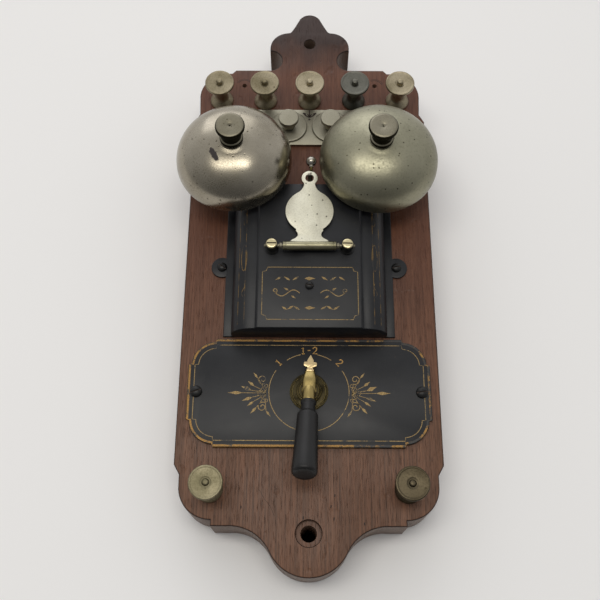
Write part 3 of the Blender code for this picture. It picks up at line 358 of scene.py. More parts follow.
def ribbon(
    path: list[Vector], facing: list[Vector] | None = None, width: float = 0.5, closed: bool = False
) -> bpy.types.Mesh:
    """A painted line, as a strip that stands a hair proud of the surface under it.

    Args:
        path: World points on the surface.
        facing: The surface's outward direction at each point; straight forwards if left out.
        width: The line's width in millimetres.
        closed: Whether the line ends where it starts.

    Returns:
        The closed mesh.
    """
    bm = bmesh.new()
    count = len(path)
    rings = []
    for i, spot in enumerate(path):
        after = path[(i + 1) % count] if closed or i + 1 < count else spot
        before = path[i - 1] if closed or i else spot
        out = facing[i] if facing else Vector((0, -1, 0))
        side = out.cross((after - before).normalized()).normalized() * (width / 2 * MM)
        top, bottom = spot + out * PAINT_PROUD * MM, spot - out * PAINT_SUNK * MM
        rings.append([bm.verts.new(p) for p in (top + side, top - side, bottom - side, bottom + side)])
    for one, two in zip(rings, rings[1:] + rings[:1] if closed else rings[1:]):
        bridge(bm, one, two)
    if not closed:
        bm.faces.new(rings[0])
        bm.faces.new(rings[-1][::-1])
    return as_mesh(bm)


def flat_line(points: list[Point], h: float, width: float, closed: bool = False) -> bpy.types.Mesh:
    """A painted line on a face parallel to the board."""
    return ribbon([place(x, h, z) for x, z in points], width=width, closed=closed)


def leaf(base: Point, tip: Point, width: float, h: float) -> bpy.types.Mesh:
    """A small painted leaf, widest two fifths of the way from its base to its tip."""
    start, end = Vector(base), Vector(tip)
    run = end - start
    side = Vector((-run.y, run.x)).normalized() * width / 2
    shape = [start, start + run * 0.2 + side * 0.6, start + run * 0.42 + side, start + run * 0.7 + side * 0.45]
    shape += [end, start + run * 0.7 - side * 0.45, start + run * 0.42 - side, start + run * 0.2 - side * 0.6]
    return slab([(p.x, p.y) for p in shape], h - PAINT_SUNK, h + PAINT_PROUD, 0.0)


def spiral(centre: Point, outer: float, inner: float, start: float, turns: float) -> list[Point]:
    """A scroll that winds inwards from its outer radius, starting at an angle in degrees."""
    count = max(8, int(abs(turns) * 22))
    points = []
    for i in range(count + 1):
        t = i / count
        radius = outer + (inner - outer) * t
        angle = math.radians(start + 360 * turns * t)
        points.append((centre[0] + radius * math.cos(angle), centre[1] + radius * math.sin(angle)))
    return points


# --- Finishes


def linear(hex_colour: str) -> tuple[float, float, float, float]:
    """An sRGB hex colour as linear red, green, blue and alpha."""
    channels = []
    for i in (1, 3, 5):
        value = int(hex_colour[i : i + 2], 16) / 255
        channels.append(value / 12.92 if value <= 0.04045 else ((value + 0.055) / 1.055) ** 2.4)
    return (*channels, 1.0)


def add_node(tree: bpy.types.NodeTree, kind: str, inputs: dict | None = None, **settings) -> bpy.types.Node:
    """Add a shader node.

    Args:
        tree: The material's node tree.
        kind: The node's type name after "ShaderNode".
        inputs: Sockets by name or number, each a value or another node's output to link.
        **settings: The node's own properties.

    Returns:
        The new node.
    """
    node = tree.nodes.new("ShaderNode" + kind)
    for key, value in settings.items():
        setattr(node, key, value)
    for socket, value in (inputs or {}).items():
        if isinstance(value, bpy.types.NodeSocket):
            tree.links.new(value, node.inputs[socket])
        else:
            node.inputs[socket].default_value = value
    return node


class Painter:
    """The node tree of one material, with the few patterns that the finishes share."""

    def __init__(self, name: str) -> None:
        """Start a material with an empty tree."""
        self.material = bpy.data.materials.new(name)
        self.material.use_nodes = True
        self.tree = self.material.node_tree
        self.tree.nodes.clear()
        self.spot = self.add("TexCoord").outputs["Object"]

    def add(self, kind: str, inputs: dict | None = None, **settings) -> bpy.types.Node:
        """Add a node to this material."""
        return add_node(self.tree, kind, inputs, **settings)

    def noise(self, size: Triple, detail: float = 4.0, rough: float = 0.55, shift: float = 0.0) -> Socket:
        """Noise whose features are about size millimetres along x, y and z; gives its value."""
        scale = tuple(1.0 / (edge * MM) for edge in size)
        spread = self.add("Mapping", {"Vector": self.spot, "Scale": scale, "Location": (shift, shift, shift)})
        inputs = {"Vector": spread.outputs[0], "Scale": 1.0, "Detail": detail, "Roughness": rough}
        pattern = self.add("TexNoise", inputs)
        return pattern.outputs["Fac"]

    def ramp(self, value: Value, low: float, high: float, floor: float = 0.0, ceiling: float = 1.0) -> Socket:
        """Stretch a value so that low becomes floor and high becomes ceiling, held in between."""
        inputs = {"Value": value, "From Min": low, "From Max": high, "To Min": floor, "To Max": ceiling}
        return self.add("MapRange", inputs, clamp=True).outputs[0]

    def math(self, operation: str, one: Value, two: Value = 0.0) -> Socket:
        """Arithmetic on two values."""
        return self.add("Math", {0: one, 1: two}, operation=operation).outputs[0]

    def mix(self, factor: Value, one: Colour, two: Colour) -> Socket:
        """Mix two colours, each a hex text or another node's output."""
        colours = {6: one, 7: two}
        inputs = {k: linear(v) if isinstance(v, str) else v for k, v in colours.items()}
        return self.add("Mix", {0: factor, **inputs}, data_type="RGBA").outputs[2]

    def bump(self, height: Value, depth_mm: float, before: Socket | None = None) -> Socket:
        """Relief of a height pattern, deep in millimetres, on top of another bump if given."""
        inputs = {"Height": height, "Distance": depth_mm * MM, "Strength": 1.0}
        if before is not None:
            inputs["Normal"] = before
        return self.add("Bump", inputs).outputs[0]

    def blob(self, where: Triple, radii: Triple, lean: float, ragged: Socket) -> Socket:
        """1 inside a leaning egg shape with a ragged edge.

        Args:
            where: Its middle as x, h and z in millimetres.
            radii: Its half-sizes across, through and along, in millimetres.
            lean: How far it leans about the front direction, in degrees.
            ragged: A noise value that breaks its edge.

        Returns:
            The mask's socket.
        """
        inputs = {"Vector": self.spot, "Location": tuple(place(*where)), "Scale": tuple(r * MM for r in radii)}
        inputs["Rotation"] = (0.0, math.radians(lean), 0.0)
        egg = self.add("Mapping", inputs, vector_type="TEXTURE").outputs[0]
        reach = self.add("VectorMath", {0: egg}, operation="LENGTH").outputs["Value"]
        return self.ramp(self.math("ADD", reach, self.math("MULTIPLY", ragged, 0.9)), 1.42, 1.30)

    def pits(self, apart: float, radius: float, threshold: float) -> Socket:
        """Small round pits about one to a cell, dropped out where a broad noise is low."""
        cells = self.add("TexVoronoi", {"Vector": self.spot, "Scale": 1.0 / (apart * MM), "Randomness": 1.0})
        dots = self.ramp(cells.outputs["Distance"], radius / apart * 1.3, radius / apart * 0.6)
        shown = self.ramp(self.noise((9.0, 9.0, 9.0), 4.0, 0.6, 31.0), threshold, threshold + 0.06)
        return self.math("MULTIPLY", dots, shown)

    def finish(self, **sockets) -> bpy.types.Material:
        """End the tree in a Principled shader with these sockets set or linked."""
        inputs = {key.replace("_", " "): value for key, value in sockets.items()}
        inputs = {key: linear(v) if isinstance(v, str) else v for key, v in inputs.items()}
        shader = self.add("BsdfPrincipled", inputs)
        self.add("OutputMaterial", {"Surface": shader.outputs[0]})
        return self.material


@dataclass(frozen=True)
class Finish:
    """A surface finish; each kind builds its material once."""

    slot: str

    def label(self) -> str:
        """The material's name."""
        return "_".join([type(self).__name__, *(str(v) for v in vars(self).values())])[:60]

    def paint(self, p: Painter) -> bpy.types.Material:
        """Build the node tree."""
        raise NotImplementedError

    def material(self) -> bpy.types.Material:
        """The finish's material, made the first time it is asked for."""
        name = self.label()
        return bpy.data.materials.get(name) or self.paint(Painter(name))


@dataclass(frozen=True)
class OiledWalnut(Finish):
    """Oiled walnut, sawn along the grain: fine dark pores, soft streaks, dark edges and paler sides."""

    slot: str = "walnut"
    pale: str = "#7A543D"
    mid: str = "#5F3D28"
    dark: str = "#1E120D"

    def paint(self, p: Painter) -> bpy.types.Material:
        """Streaks about 6 mm apart, pores 0.3 mm wide and 8 mm long, and wear by height."""
        streaks = p.noise((5.0, 5.0, 120.0), 6.0, 0.6)
        fine = p.noise((0.9, 0.9, 45.0), 5.0, 0.65, 3.0)
        pores = p.noise((0.28, 0.28, 8.0), 3.0, 0.5, 7.0)
        clouds = p.noise((34.0, 34.0, 60.0), 3.0, 0.5, 11.0)
        base = p.mix(p.ramp(streaks, 0.3, 0.7), self.mid, self.pale)
        base = p.mix(p.ramp(fine, 0.40, 0.66, 0.0, 0.8), base, "#402817")
        pore_mask = p.ramp(pores, 0.58, 0.68)
        base = p.mix(p.math("MULTIPLY", pore_mask, 0.62), base, self.dark)
        height = p.add("SeparateXYZ", {0: p.spot}).outputs["Z"]
        low = p.ramp(p.math("ADD", height, p.math("MULTIPLY", clouds, 0.03)), -0.10, 0.03)
        base = p.mix(p.math("MULTIPLY", low, 0.55), base, "#5A2F1C")
        smoke = p.ramp(p.math("ADD", height, p.math("MULTIPLY", clouds, 0.06)), 0.165, 0.19)
        base = p.mix(p.math("MULTIPLY", smoke, 0.85), base, "#22140F")
        grime = p.ramp(clouds, 0.55, 0.78)
        base = p.mix(p.math("MULTIPLY", grime, 0.35), base, "#2E1C15")
        # by face direction: the eased edge is darkened to near black, and the side faces are paler
        facing = p.add("SeparateXYZ", {0: p.add("NewGeometry").outputs["True Normal"]}).outputs["Y"]
        flat = p.math("ABSOLUTE", facing)
        base = p.mix(p.math("MULTIPLY", p.ramp(flat, 0.35, 0.15), 0.55), base, "#6A5A4E")
        dark_edge_band = p.math("MULTIPLY", p.ramp(flat, 0.985, 0.9), p.ramp(flat, 0.12, 0.3))
        base = p.mix(p.math("MULTIPLY", dark_edge_band, 0.85), base, "#150D0A")
        relief = p.bump(p.math("MULTIPLY", pore_mask, -1.0), 0.09)
        dents = p.ramp(p.noise((7.0, 7.0, 9.0), 2.0, 0.4, 19.0), 0.66, 0.8, 0.0, -1.0)
        relief = p.bump(dents, 0.35, relief)
        rough = p.ramp(clouds, 0.3, 0.75, 0.50, 0.36)
        return p.finish(Base_Color=base, Roughness=rough, Normal=relief, Specular_IOR_Level=0.34)


@dataclass(frozen=True)
class AgedNickel(Finish):
    """Old nickel plate on brass: grey with a yellow cast, tarnished olive, with fine pits."""

    slot: str = "nickel_plate"
    bright: str = "#B9B5A0"
    tarnish: str = "#6F6B52"
    roughness: float = 0.27
    tarnish_share: float = 0.5
    mottle: float = 0.6
    pitted: float = 0.5
    grit_mm: float = 0.004
    grit_size: float = 0.7
    grain_mm: float = 0.0
    worn_spot: Triple | None = None

    def paint(self, p: Painter) -> bpy.types.Material:
        """Tarnish in clouds of 22 mm, grit of 0.7 mm, pits every few millimetres, a bare spot."""
        clouds = p.noise((22.0, 22.0, 22.0), 3.0, 0.5)
        speckle = p.noise((self.grit_size, self.grit_size, self.grit_size), 3.0, 0.6, 5.0)
        edge = 0.70 - 0.40 * self.tarnish_share
        veil = p.ramp(p.math("ADD", clouds, p.math("MULTIPLY", speckle, 0.22)), edge, edge + 0.34)
        veil = p.math("MULTIPLY", veil, self.mottle)
        colour = p.mix(veil, self.bright, self.tarnish)
        colour = p.mix(p.ramp(speckle, 0.52, 0.72, 0.0, 0.30), colour, self.tarnish)
        pit_mask = p.pits(4.2, 0.50, 0.60 - 0.2 * self.pitted)
        colour = p.mix(p.math("MULTIPLY", pit_mask, 0.85), colour, "#2E2819")
        rough = p.ramp(veil, 0.0, 1.0, self.roughness, self.roughness + 0.12)
        rough = p.math("ADD", rough, p.ramp(speckle, 0.4, 0.7, 0.0, 0.06))
        relief = p.bump(p.math("MULTIPLY", pit_mask, -1.0), 0.05)
        relief = p.bump(speckle, self.grit_mm, relief)
        if self.grain_mm:
            # brushed lines lie across the board
            lines = p.noise((40.0, self.grain_mm, self.grain_mm), 3.0, 0.6, 4.0)
            relief = p.bump(lines, 0.02, relief)
        metal = 1.0
        if self.worn_spot:
            ragged = p.noise((1.6, 1.6, 1.6), 4.0, 0.7, 21.0)
            spot = p.blob(self.worn_spot, (2.0, 9.0, 5.6), -30.0, ragged)
            colour = p.mix(spot, colour, "#1D0F0D")
            metal = p.ramp(spot, 0.0, 1.0, 1.0, 0.0)
            rough = p.math("ADD", rough, p.math("MULTIPLY", spot, 0.3))
            relief = p.bump(p.math("MULTIPLY", spot, -1.0), 0.05, relief)
        return p.finish(Base_Color=colour, Metallic=metal, Roughness=rough, Normal=relief)


@dataclass(frozen=True)
class StovedJapan(Finish):
    """Black japan stoved on sheet steel: blue-grey with age, hazed, with hair scratches."""

    slot: str = "black_japan"
    colour: str = "#141518"
    haze: str = "#1F2023"
    rubbed: str = "#3B2E22"

    def paint(self, p: Painter) -> bpy.types.Material:
        """Haze in 25 mm clouds, scratches 0.15 mm wide and brown rubbed specks of 1 mm."""
        clouds = p.noise((25.0, 25.0, 18.0), 5.0, 0.6)
        colour = p.mix(p.ramp(clouds, 0.35, 0.72), self.colour, self.haze)
        scratches = p.ramp(p.noise((0.25, 0.25, 9.0), 2.0, 0.5, 3.0), 0.68, 0.74)
        colour = p.mix(p.math("MULTIPLY", scratches, 0.22), colour, "#44433F")
        specks = p.ramp(p.noise((1.3, 1.3, 2.2), 3.0, 0.6, 8.0), 0.70, 0.75)
        colour = p.mix(p.math("MULTIPLY", specks, 0.6), colour, self.rubbed)
        rough = p.ramp(p.math("ADD", clouds, p.math("MULTIPLY", scratches, 0.2)), 0.3, 0.8, 0.34, 0.48)
        relief = p.bump(p.math("MULTIPLY", specks, -1.0), 0.02)
        relief = p.bump(p.noise((5.0, 5.0, 5.0), 2.0, 0.4, 5.0), 0.03, relief)
        return p.finish(Base_Color=colour, Roughness=rough, Normal=relief, Specular_IOR_Level=0.34)


@dataclass(frozen=True)
class WornGilt(Finish):
    """Gold bronze lining over japan: dull gold that has rubbed off down to the black."""

    slot: str = "black_japan"
    gold: str = "#A88A52"
    lost: float = 0.36
    fades_right: float = 0.0

    def paint(self, p: Painter) -> bpy.types.Material:
        """Gold that is lost in patches of 6 mm with a grainy 0.6 mm edge."""
        broad = p.noise((6.0, 6.0, 6.0), 4.0, 0.6)
        grainy = p.noise((0.6, 0.6, 0.6), 2.0, 0.6, 6.0)
        value = p.math("ADD", broad, p.math("MULTIPLY", grainy, 0.3))
        if self.fades_right:
            across = p.add("SeparateXYZ", {0: p.spot}).outputs["X"]
            value = p.math("SUBTRACT", value, p.ramp(across, -0.03, 0.05, 0.0, self.fades_right))
        kept = p.ramp(value, self.lost + 0.13, self.lost + 0.25)
        colour = p.mix(kept, "#1B1917", p.mix(p.ramp(grainy, 0.35, 0.7), "#6E5630", self.gold))
        metal = p.ramp(kept, 0.0, 1.0, 0.0, 0.55)
        relief = p.bump(grainy, 0.02)
        return p.finish(Base_Color=colour, Metallic=metal, Roughness=0.45, Normal=relief)


@dataclass(frozen=True)
class AgedBrass(Finish):
    """Turned and filed brass, gone dull: yellow-brown with dark tarnish in patches."""

    slot: str = "brass"
    bright: str = "#A8935A"
    dull: str = "#4E432A"
    dullness: float = 0.5

    def paint(self, p: Painter) -> bpy.types.Material:
        """Tarnish in 4 mm patches and file marks 0.3 mm apart."""
        patches = p.noise((4.0, 4.0, 6.0), 4.0, 0.6)
        marks = p.noise((0.3, 0.3, 7.0), 2.0, 0.5, 4.0)
        edge = 0.72 - 0.4 * self.dullness
        veil = p.ramp(patches, edge, edge + 0.25)
        colour = p.mix(veil, self.bright, self.dull)
        rough = p.ramp(veil, 0.0, 1.0, 0.30, 0.46)
        relief = p.bump(marks, 0.02)
        return p.finish(Base_Color=colour, Metallic=1.0, Roughness=rough, Normal=relief)


@dataclass(frozen=True)
class HandledEbonite(Finish):
    """Turned hard rubber, once polished: brown-black, satin from handling, fine turning rings."""

    slot: str = "ebonite"

    def paint(self, p: Painter) -> bpy.types.Material:
        """Faint lengthwise rub marks 0.4 mm wide over 12 mm clouds of wear."""
        clouds = p.noise((12.0, 12.0, 20.0), 4.0, 0.6)
        rubs = p.noise((0.4, 0.4, 14.0), 3.0, 0.6, 5.0)
        colour = p.mix(p.ramp(clouds, 0.3, 0.75), "#0A0A0A", "#131111")
        colour = p.mix(p.ramp(rubs, 0.62, 0.75, 0.0, 0.35), colour, "#332E2B")
        rough = p.ramp(clouds, 0.3, 0.75, 0.36, 0.50)
        return p.finish(Base_Color=colour, Roughness=rough, Normal=p.bump(rubs, 0.015), Specular_IOR_Level=0.36)


@dataclass(frozen=True)
class TurnedSteel(Finish):
    """Plain turned steel or filed iron: grey, lightly oxidised."""

    slot: str = "hinge_steel"
    bright: str = "#9A958A"
    oxide: str = "#4C4238"

    def paint(self, p: Painter) -> bpy.types.Material:
        """Oxide in 2.5 mm patches over fine tool marks."""
        patches = p.noise((2.5, 2.5, 2.5), 5.0, 0.65)
        marks = p.noise((0.2, 3.0, 0.2), 2.0, 0.5, 4.0)
        veil = p.ramp(patches, 0.45, 0.68)
        colour = p.mix(veil, self.bright, self.oxide)
        rough = p.ramp(veil, 0.0, 1.0, 0.30, 0.55)
        return p.finish(Base_Color=colour, Metallic=1.0, Roughness=rough, Normal=p.bump(marks, 0.015))


@dataclass(frozen=True)
class SilkWinding(Finish):
    """Magnet coil wound with silk-covered copper wire, dull dark green, close turns."""

    slot: str = "coil_winding"

    def paint(self, p: Painter) -> bpy.types.Material:
        """Turns 0.8 mm apart, drawn coarser than the real wire so that they show."""
        scale = 1.0 / (0.8 * MM) / math.tau * 2
        turns = p.add("TexWave", {"Vector": p.spot, "Scale": scale}, bands_direction="Z")
        shade = p.noise((3.0, 3.0, 3.0), 3.0, 0.6)
        colour = p.mix(p.ramp(shade, 0.3, 0.7), "#1F3A2C", "#35523E")
        relief = p.bump(turns.outputs["Fac"], 0.12)
        return p.finish(Base_Color=colour, Roughness=0.7, Normal=relief)


@dataclass(frozen=True)
class DarkStroke(Finish):
    """A cut or scratched stroke filled with old dirt; the same dark finish is the painted shade in the floors
    of screw slots.
    """

    slot: str = "walnut"
    colour: str = "#1B120D"

    def paint(self, p: Painter) -> bpy.types.Material:
        """Dirt, and painted shade in screw slots, that thins out over half a millimetre."""
        dirt_and_shade = p.noise((0.5, 0.5, 0.5), 3.0, 0.6)
        colour = p.mix(p.ramp(dirt_and_shade, 0.4, 0.7), self.colour, "#3A291F")
        return p.finish(Base_Color=colour, Roughness=0.75, Normal=p.bump(dirt_and_shade, 0.03))


WALNUT = OiledWalnut()
GONG_NICKEL_LEFT = AgedNickel(
    bright="#A39C8D", tarnish="#665F50", roughness=0.20, mottle=0.55, pitted=1.0, worn_spot=(-56.2, 41.5, 46.2)
)
GONG_NICKEL_RIGHT = AgedNickel(
    bright="#94917D", tarnish="#646250", roughness=0.33, mottle=0.5, pitted=1.0, grit_mm=0.05, grit_size=1.2
)
THUMB_NICKEL = AgedNickel(bright="#A0967F", tarnish="#605840", roughness=0.42, mottle=0.9, grit_mm=0.02)
THUMB_NICKEL_GREY = AgedNickel(bright="#65645C", tarnish="#3B3A34", roughness=0.38, mottle=0.6)
THUMB_NICKEL_GREEN = AgedNickel(bright="#9F967C", tarnish="#6E6850", roughness=0.42, mottle=0.9)
THUMB_NICKEL_BROWN = AgedNickel(bright="#544C3C", tarnish="#2F281C", roughness=0.40, mottle=0.9)
KNOB_NICKEL = AgedNickel(bright="#858070", tarnish="#5D5848", roughness=0.40, mottle=0.7)
KNOB_RIM = AgedNickel(bright="#2B281D", tarnish="#121009", roughness=0.50, mottle=0.8)
PLATE_NICKEL = AgedNickel("pale_nickel", "#9A9686", "#767060", 0.42, mottle=0.5, pitted=0.3, grain_mm=0.35)
SHUTTER_NICKEL = AgedNickel("pale_nickel", "#DDDAC8", "#A29D88", 0.46, mottle=0.45, pitted=1.0, grit_mm=0.03)
BALL_NICKEL = AgedNickel(bright="#A49F95", tarnish="#6B665F", roughness=0.22, mottle=0.4)
JAPAN = StovedJapan()
# black japan for the screws, also the painted shade of the hinge pillars
SCREW_JAPAN_AND_PILLAR_SHADE = StovedJapan(colour="#0C0C0C", haze="#161615", rubbed="#2A221B")
GILT = WornGilt(gold="#A08A5E")
GILT_FIGURE = WornGilt(gold="#B98F4C", lost=0.24)
GILT_EDGE = WornGilt(gold="#A07638", lost=0.38, fades_right=0.11)
GILT_FAINT = WornGilt(gold="#84693C", lost=0.46)
BRASS = AgedBrass(bright="#9A8858", dull="#5A4E30")
BRIGHT_BRASS = AgedBrass(bright="#C4AE84", dull="#8E7650", dullness=0.35)
SCREW_BRIGHT = AgedBrass(bright="#CFC39C", dull="#9A8F6C", dullness=0.3)
BOSS_BRASS = AgedBrass(bright="#A3925C", dull="#5E5234", dullness=0.4)
HINGE_NICKEL = AgedNickel("pale_nickel", "#98937A", "#545038", 0.33, mottle=0.9)
BOSS_DARK = AgedBrass(bright="#3A3424", dull="#16130D", dullness=0.7)
EBONITE = HandledEbonite()
STEEL = TurnedSteel()
SPINDLE_STEEL = TurnedSteel("steel_spindle")
IRON = TurnedSteel("soft_iron", "#6A6660", "#35302B")
COIL = SilkWinding()
# dark strokes of dirt, also the painted shade in the floors of screw slots
DIRT_AND_SHADE = DarkStroke()


# --- Pieces


def piece(
    name: str, mesh: bpy.types.Mesh, finish: Finish, body: str, *nodes: str, rim: Finish | None = None
) -> bpy.types.Object:
    """Add a visible piece.

    Args:
        name: The piece's name.
        mesh: Its mesh, in the row frame.
        finish: Its finish.
        body: The CAD body that it rides on.
        *nodes: The CAD nodes that it stands for.
        rim: Another finish for the faces that don't look forwards or back, if it has one.

    Returns:
        The new object.
    """
    mesh.name = name
    mesh.materials.clear()
    mesh.materials.append(finish.material())
    if rim:
        mesh.materials.append(rim.material())
        for face in mesh.polygons:
            face.material_index = int(abs(face.normal.y) < 0.8)
    mesh.shade_smooth()
    mesh.set_sharp_from_angle(angle=SHARP)
    obj = bpy.data.objects.new(name, mesh)
    bpy.context.scene.collection.objects.link(obj)
    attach(obj, body)
    if nodes:
        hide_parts(*nodes)
    LOG.info("%s: %d faces, rides on %s", name, len(mesh.polygons), body)
    return obj


@dataclass(frozen=True)
class Screw:
    """A slotted screw head; its shank is in the hole under it.

    The slot's turn is counted in degrees from level, and a larger power gives a flatter head.
    """

    name: str
    node: str
    seat: float
    radius: float
    height: float
    turn: float
    finish: Finish
    power: float = 2.0

    def build(self) -> None:
        """Make the head where the CAD node is, with a dark strip of painted shade in the floor of its slot."""
        x, z = centre_of(self.node)
        top = self.seat + self.height
        dome = []
        for i in range(14):
            angle = i * math.pi / 28
            across = self.radius * math.sin(angle) ** (2 / self.power)
            dome.append((across, self.seat + self.height * math.cos(angle) ** (2 / self.power)))
        profile = [*dome, (self.radius, self.seat + 0.05), (self.radius - 0.15, self.seat), (0.0, self.seat)]
        half, floor = 0.13 * self.radius, top - 0.5 * self.height
        slot = block((-self.radius - 1, self.radius + 1), (floor, top + 1), (-half, half))
        # a thin dark block on the slot's floor: painted shade in the slot
        dirt_and_shade = block((-self.radius * 0.9, self.radius * 0.9), (floor - 0.05, floor + 0.06), (-half, half))
        turn = Matrix.Rotation(math.radians(self.turn), 4, "Y")
        for mesh in (slot, dirt_and_shade):
            mesh.transform(Matrix.Translation((x * MM, 0, z * MM)) @ turn)
        head = carve(turned(profile, place(x, 0, z), steps=40), [slot])
        piece(self.name, head, self.finish, "board", self.node)
        piece(self.name + "_slot", dirt_and_shade, DIRT_AND_SHADE, "board")


@dataclass
class Backboard:
    """The shaped walnut board, with its holes, pockets and the wiring grooves in its back."""

    crest_tip_r: float = 8.0
    neck_half: float = 12.85
    neck_drop: float = 15.2
    lobe_x: float = 14.2
    lobe_r: float = 12.5
    lobe_drop: float = 28.0
    crest_h: float = 46.7
    bite_r: float = 8.0
    shoulder_r: float = 18.5
    shoulder_step: float = 2.6
    shoulder_tail: float = 14.0
    chamfer: float = 5.5
    foot_h: float = 26.65
    foot_step: float = 3.2
    foot_lobe_r: float = 18.3
    foot_tail: float = 6.2
    hollow_x: float = 43.0
    hollow_r: float = 24.3
    nose_r: float = 23.7
    edge: float = 1.2
    thickness: float = (BOARD_BACK_Y - BOARD_FRONT_Y) / MM
    hang_drop: float = 25.1
    hang_r: float = 3.8
    screw_rise: float = 23.05
    screw_r: float = 4.25
    screw_seat_r: float = 7.1
    screw_seat_h: float = -3.0
    nail_x: float = 43.3
    nail_drop: float = 12.7
    blind_h: float = -12.0
    dial_pocket: Point = (34, 27)
    groove_x: float = 20
    groove_half: float = 2.5
    groove_depth: float = 4

    def outline(self) -> list[Point]:
        """The board's outline: crest, bite, shoulder, side, foot lobe, hollow and nose."""
        low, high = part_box("backboard")
        half_w, half_h = high.x / MM, high.z / MM
        top = half_h - self.crest_h
        foot = self.foot_h - half_h
        shoulder_x, shoulder_z = half_w - 21.0, top - self.shoulder_step - self.shoulder_r
        foot_x, foot_z = half_w - 21.5, foot + self.foot_step + self.foot_lobe_r
        nose_z, hollow_z = self.nose_r - half_h, foot - self.hollow_r
        meet = math.degrees(math.atan2(hollow_z - nose_z, self.hollow_x))
        half = arc((0, half_h - self.crest_tip_r), self.crest_tip_r, 90, 32, 12)
        half += eased(
            [
                half[-1],
                (self.neck_half - 2.6, half_h - self.neck_drop + 4.5),
                (self.neck_half, half_h - self.neck_drop),
                arc((self.lobe_x, half_h - self.lobe_drop), self.lobe_r, 84, 0, 2)[0],
            ],
            1.6,
        )[1:-1]
        half += arc((self.lobe_x, half_h - self.lobe_drop), self.lobe_r, 84, 0, 22)
        half += arc((self.lobe_x + self.lobe_r, top + self.bite_r), self.bite_r, 90, 266, 30)
        half += [(shoulder_x - 4.6, top), (shoulder_x - 2.2, top - self.shoulder_step)]
        half += arc((shoulder_x, shoulder_z), self.shoulder_r, 90, 0, 26)
        tail = shoulder_z - self.shoulder_tail
        half += [(shoulder_x + self.shoulder_r - 0.6, tail), (half_w, tail - self.chamfer)]
        half += [(half_w, foot_z + self.foot_tail + self.chamfer)]
        half += [(foot_x + self.foot_lobe_r, foot_z + self.foot_tail)]
        half += arc((foot_x, foot_z), self.foot_lobe_r, 0, -90, 26)
        half += [(foot_x, foot)]
        half += arc((self.hollow_x, hollow_z), self.hollow_r, 86, 180 + meet, 26)
        half += arc((0, nose_z), self.nose_r, meet, -90, 30)[1:]
        return mirrored(half)

    def cutters(self) -> list[bpy.types.Mesh]:
        """Everything cut out of the board."""
        half_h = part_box("backboard")[1].z / MM
        back, wide = -self.thickness, self.groove_half
        groove_h = (back - 1, back + self.groove_depth)
        cover_low, cover_high = (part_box("instrument_cover")[i].z / MM for i in (0, 1))
        plate_x, plate_z = centre_of("dial_plate")
        pocket_x, pocket_z = self.dial_pocket
        tools = [
            drill(0, half_h - self.hang_drop, self.hang_r, back - 2, 0),
            drill(0, self.screw_rise - half_h, self.screw_r, back - 2, self.screw_seat_h),
            drill(0, self.screw_rise - half_h, self.screw_seat_r, self.screw_seat_h, 0, 0.5),
            block((-40, 40), (-15, 2), (cover_low + 2.5, cover_high - 4)),
            block((plate_x - pocket_x, plate_x + pocket_x), (-14, 2), (plate_z - pocket_z, plate_z + pocket_z)),
            block((self.groove_x - wide, self.groove_x + wide), groove_h, (-139.8, 114.6)),
        ]
        for name in ("top", "foot"):
            x, z = centre_of(f"terminal_nut_{name}_" + ("far_right" if name == "top" else "right"))
            tools.append(block((-x - wide, x + wide), groove_h, (z - wide, z + wide)))
        for node in sorted(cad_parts):
            if node.startswith("terminal_post"):
                tools.append(drill(*centre_of(node), 2.3, back - 2, 0, 0.1))
            elif node.startswith(("gong_post", "arrester_knob")):
                tools.append(drill(*centre_of(node), 2.9, self.blind_h, 0, 0.1))
        for side in (-1, 1):
            tools.append(drill(side * self.nail_x, half_h - self.crest_h - self.nail_drop, 1.3, -6, 0, 0.25))
        return tools

    def build(self) -> None:
        """Make the board, its two scratched arcs and the hairline crack in its foot."""
        board = slab(self.outline(), -self.thickness, 0.0, self.edge, both=False, segments=4)
        piece("walnut_backboard", carve(board, self.cutters()), WALNUT, "board", "backboard")
        half_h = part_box("backboard")[1].z / MM
        nail_z = half_h - self.crest_h - self.nail_drop
        marks = []
        for side, start, end in ((-1, 35, 150), (1, 20, 120)):
            for radius, width in ((5.0, 0.34), (5.9, 0.22)):
                curve = arc((side * self.nail_x, nail_z - 0.6), radius, start, end, 14)
                marks.append(flat_line(curve, -0.02, width))
        foot_z = -half_h
        crack = [(-27.0, foot_z + 46.0), (-24.2, foot_z + 41.2), (-21.0, foot_z + 37.4), (-18.6, foot_z + 32.0)]
        marks.append(flat_line(crack, -0.02, 0.16))
        for x, z in ((12.0, 36.5), (13.6, 30.0), (-37.0, 36.0), (14.2, 42.5), (30.0, 27.5), (-3.0, 30.5)):
            marks.append(flat_line([(x, foot_z + z), (x + 0.2, foot_z + z + 1.5)], -0.01, 0.55))
        piece("board_scratches", merged(marks), DIRT_AND_SHADE, "board")


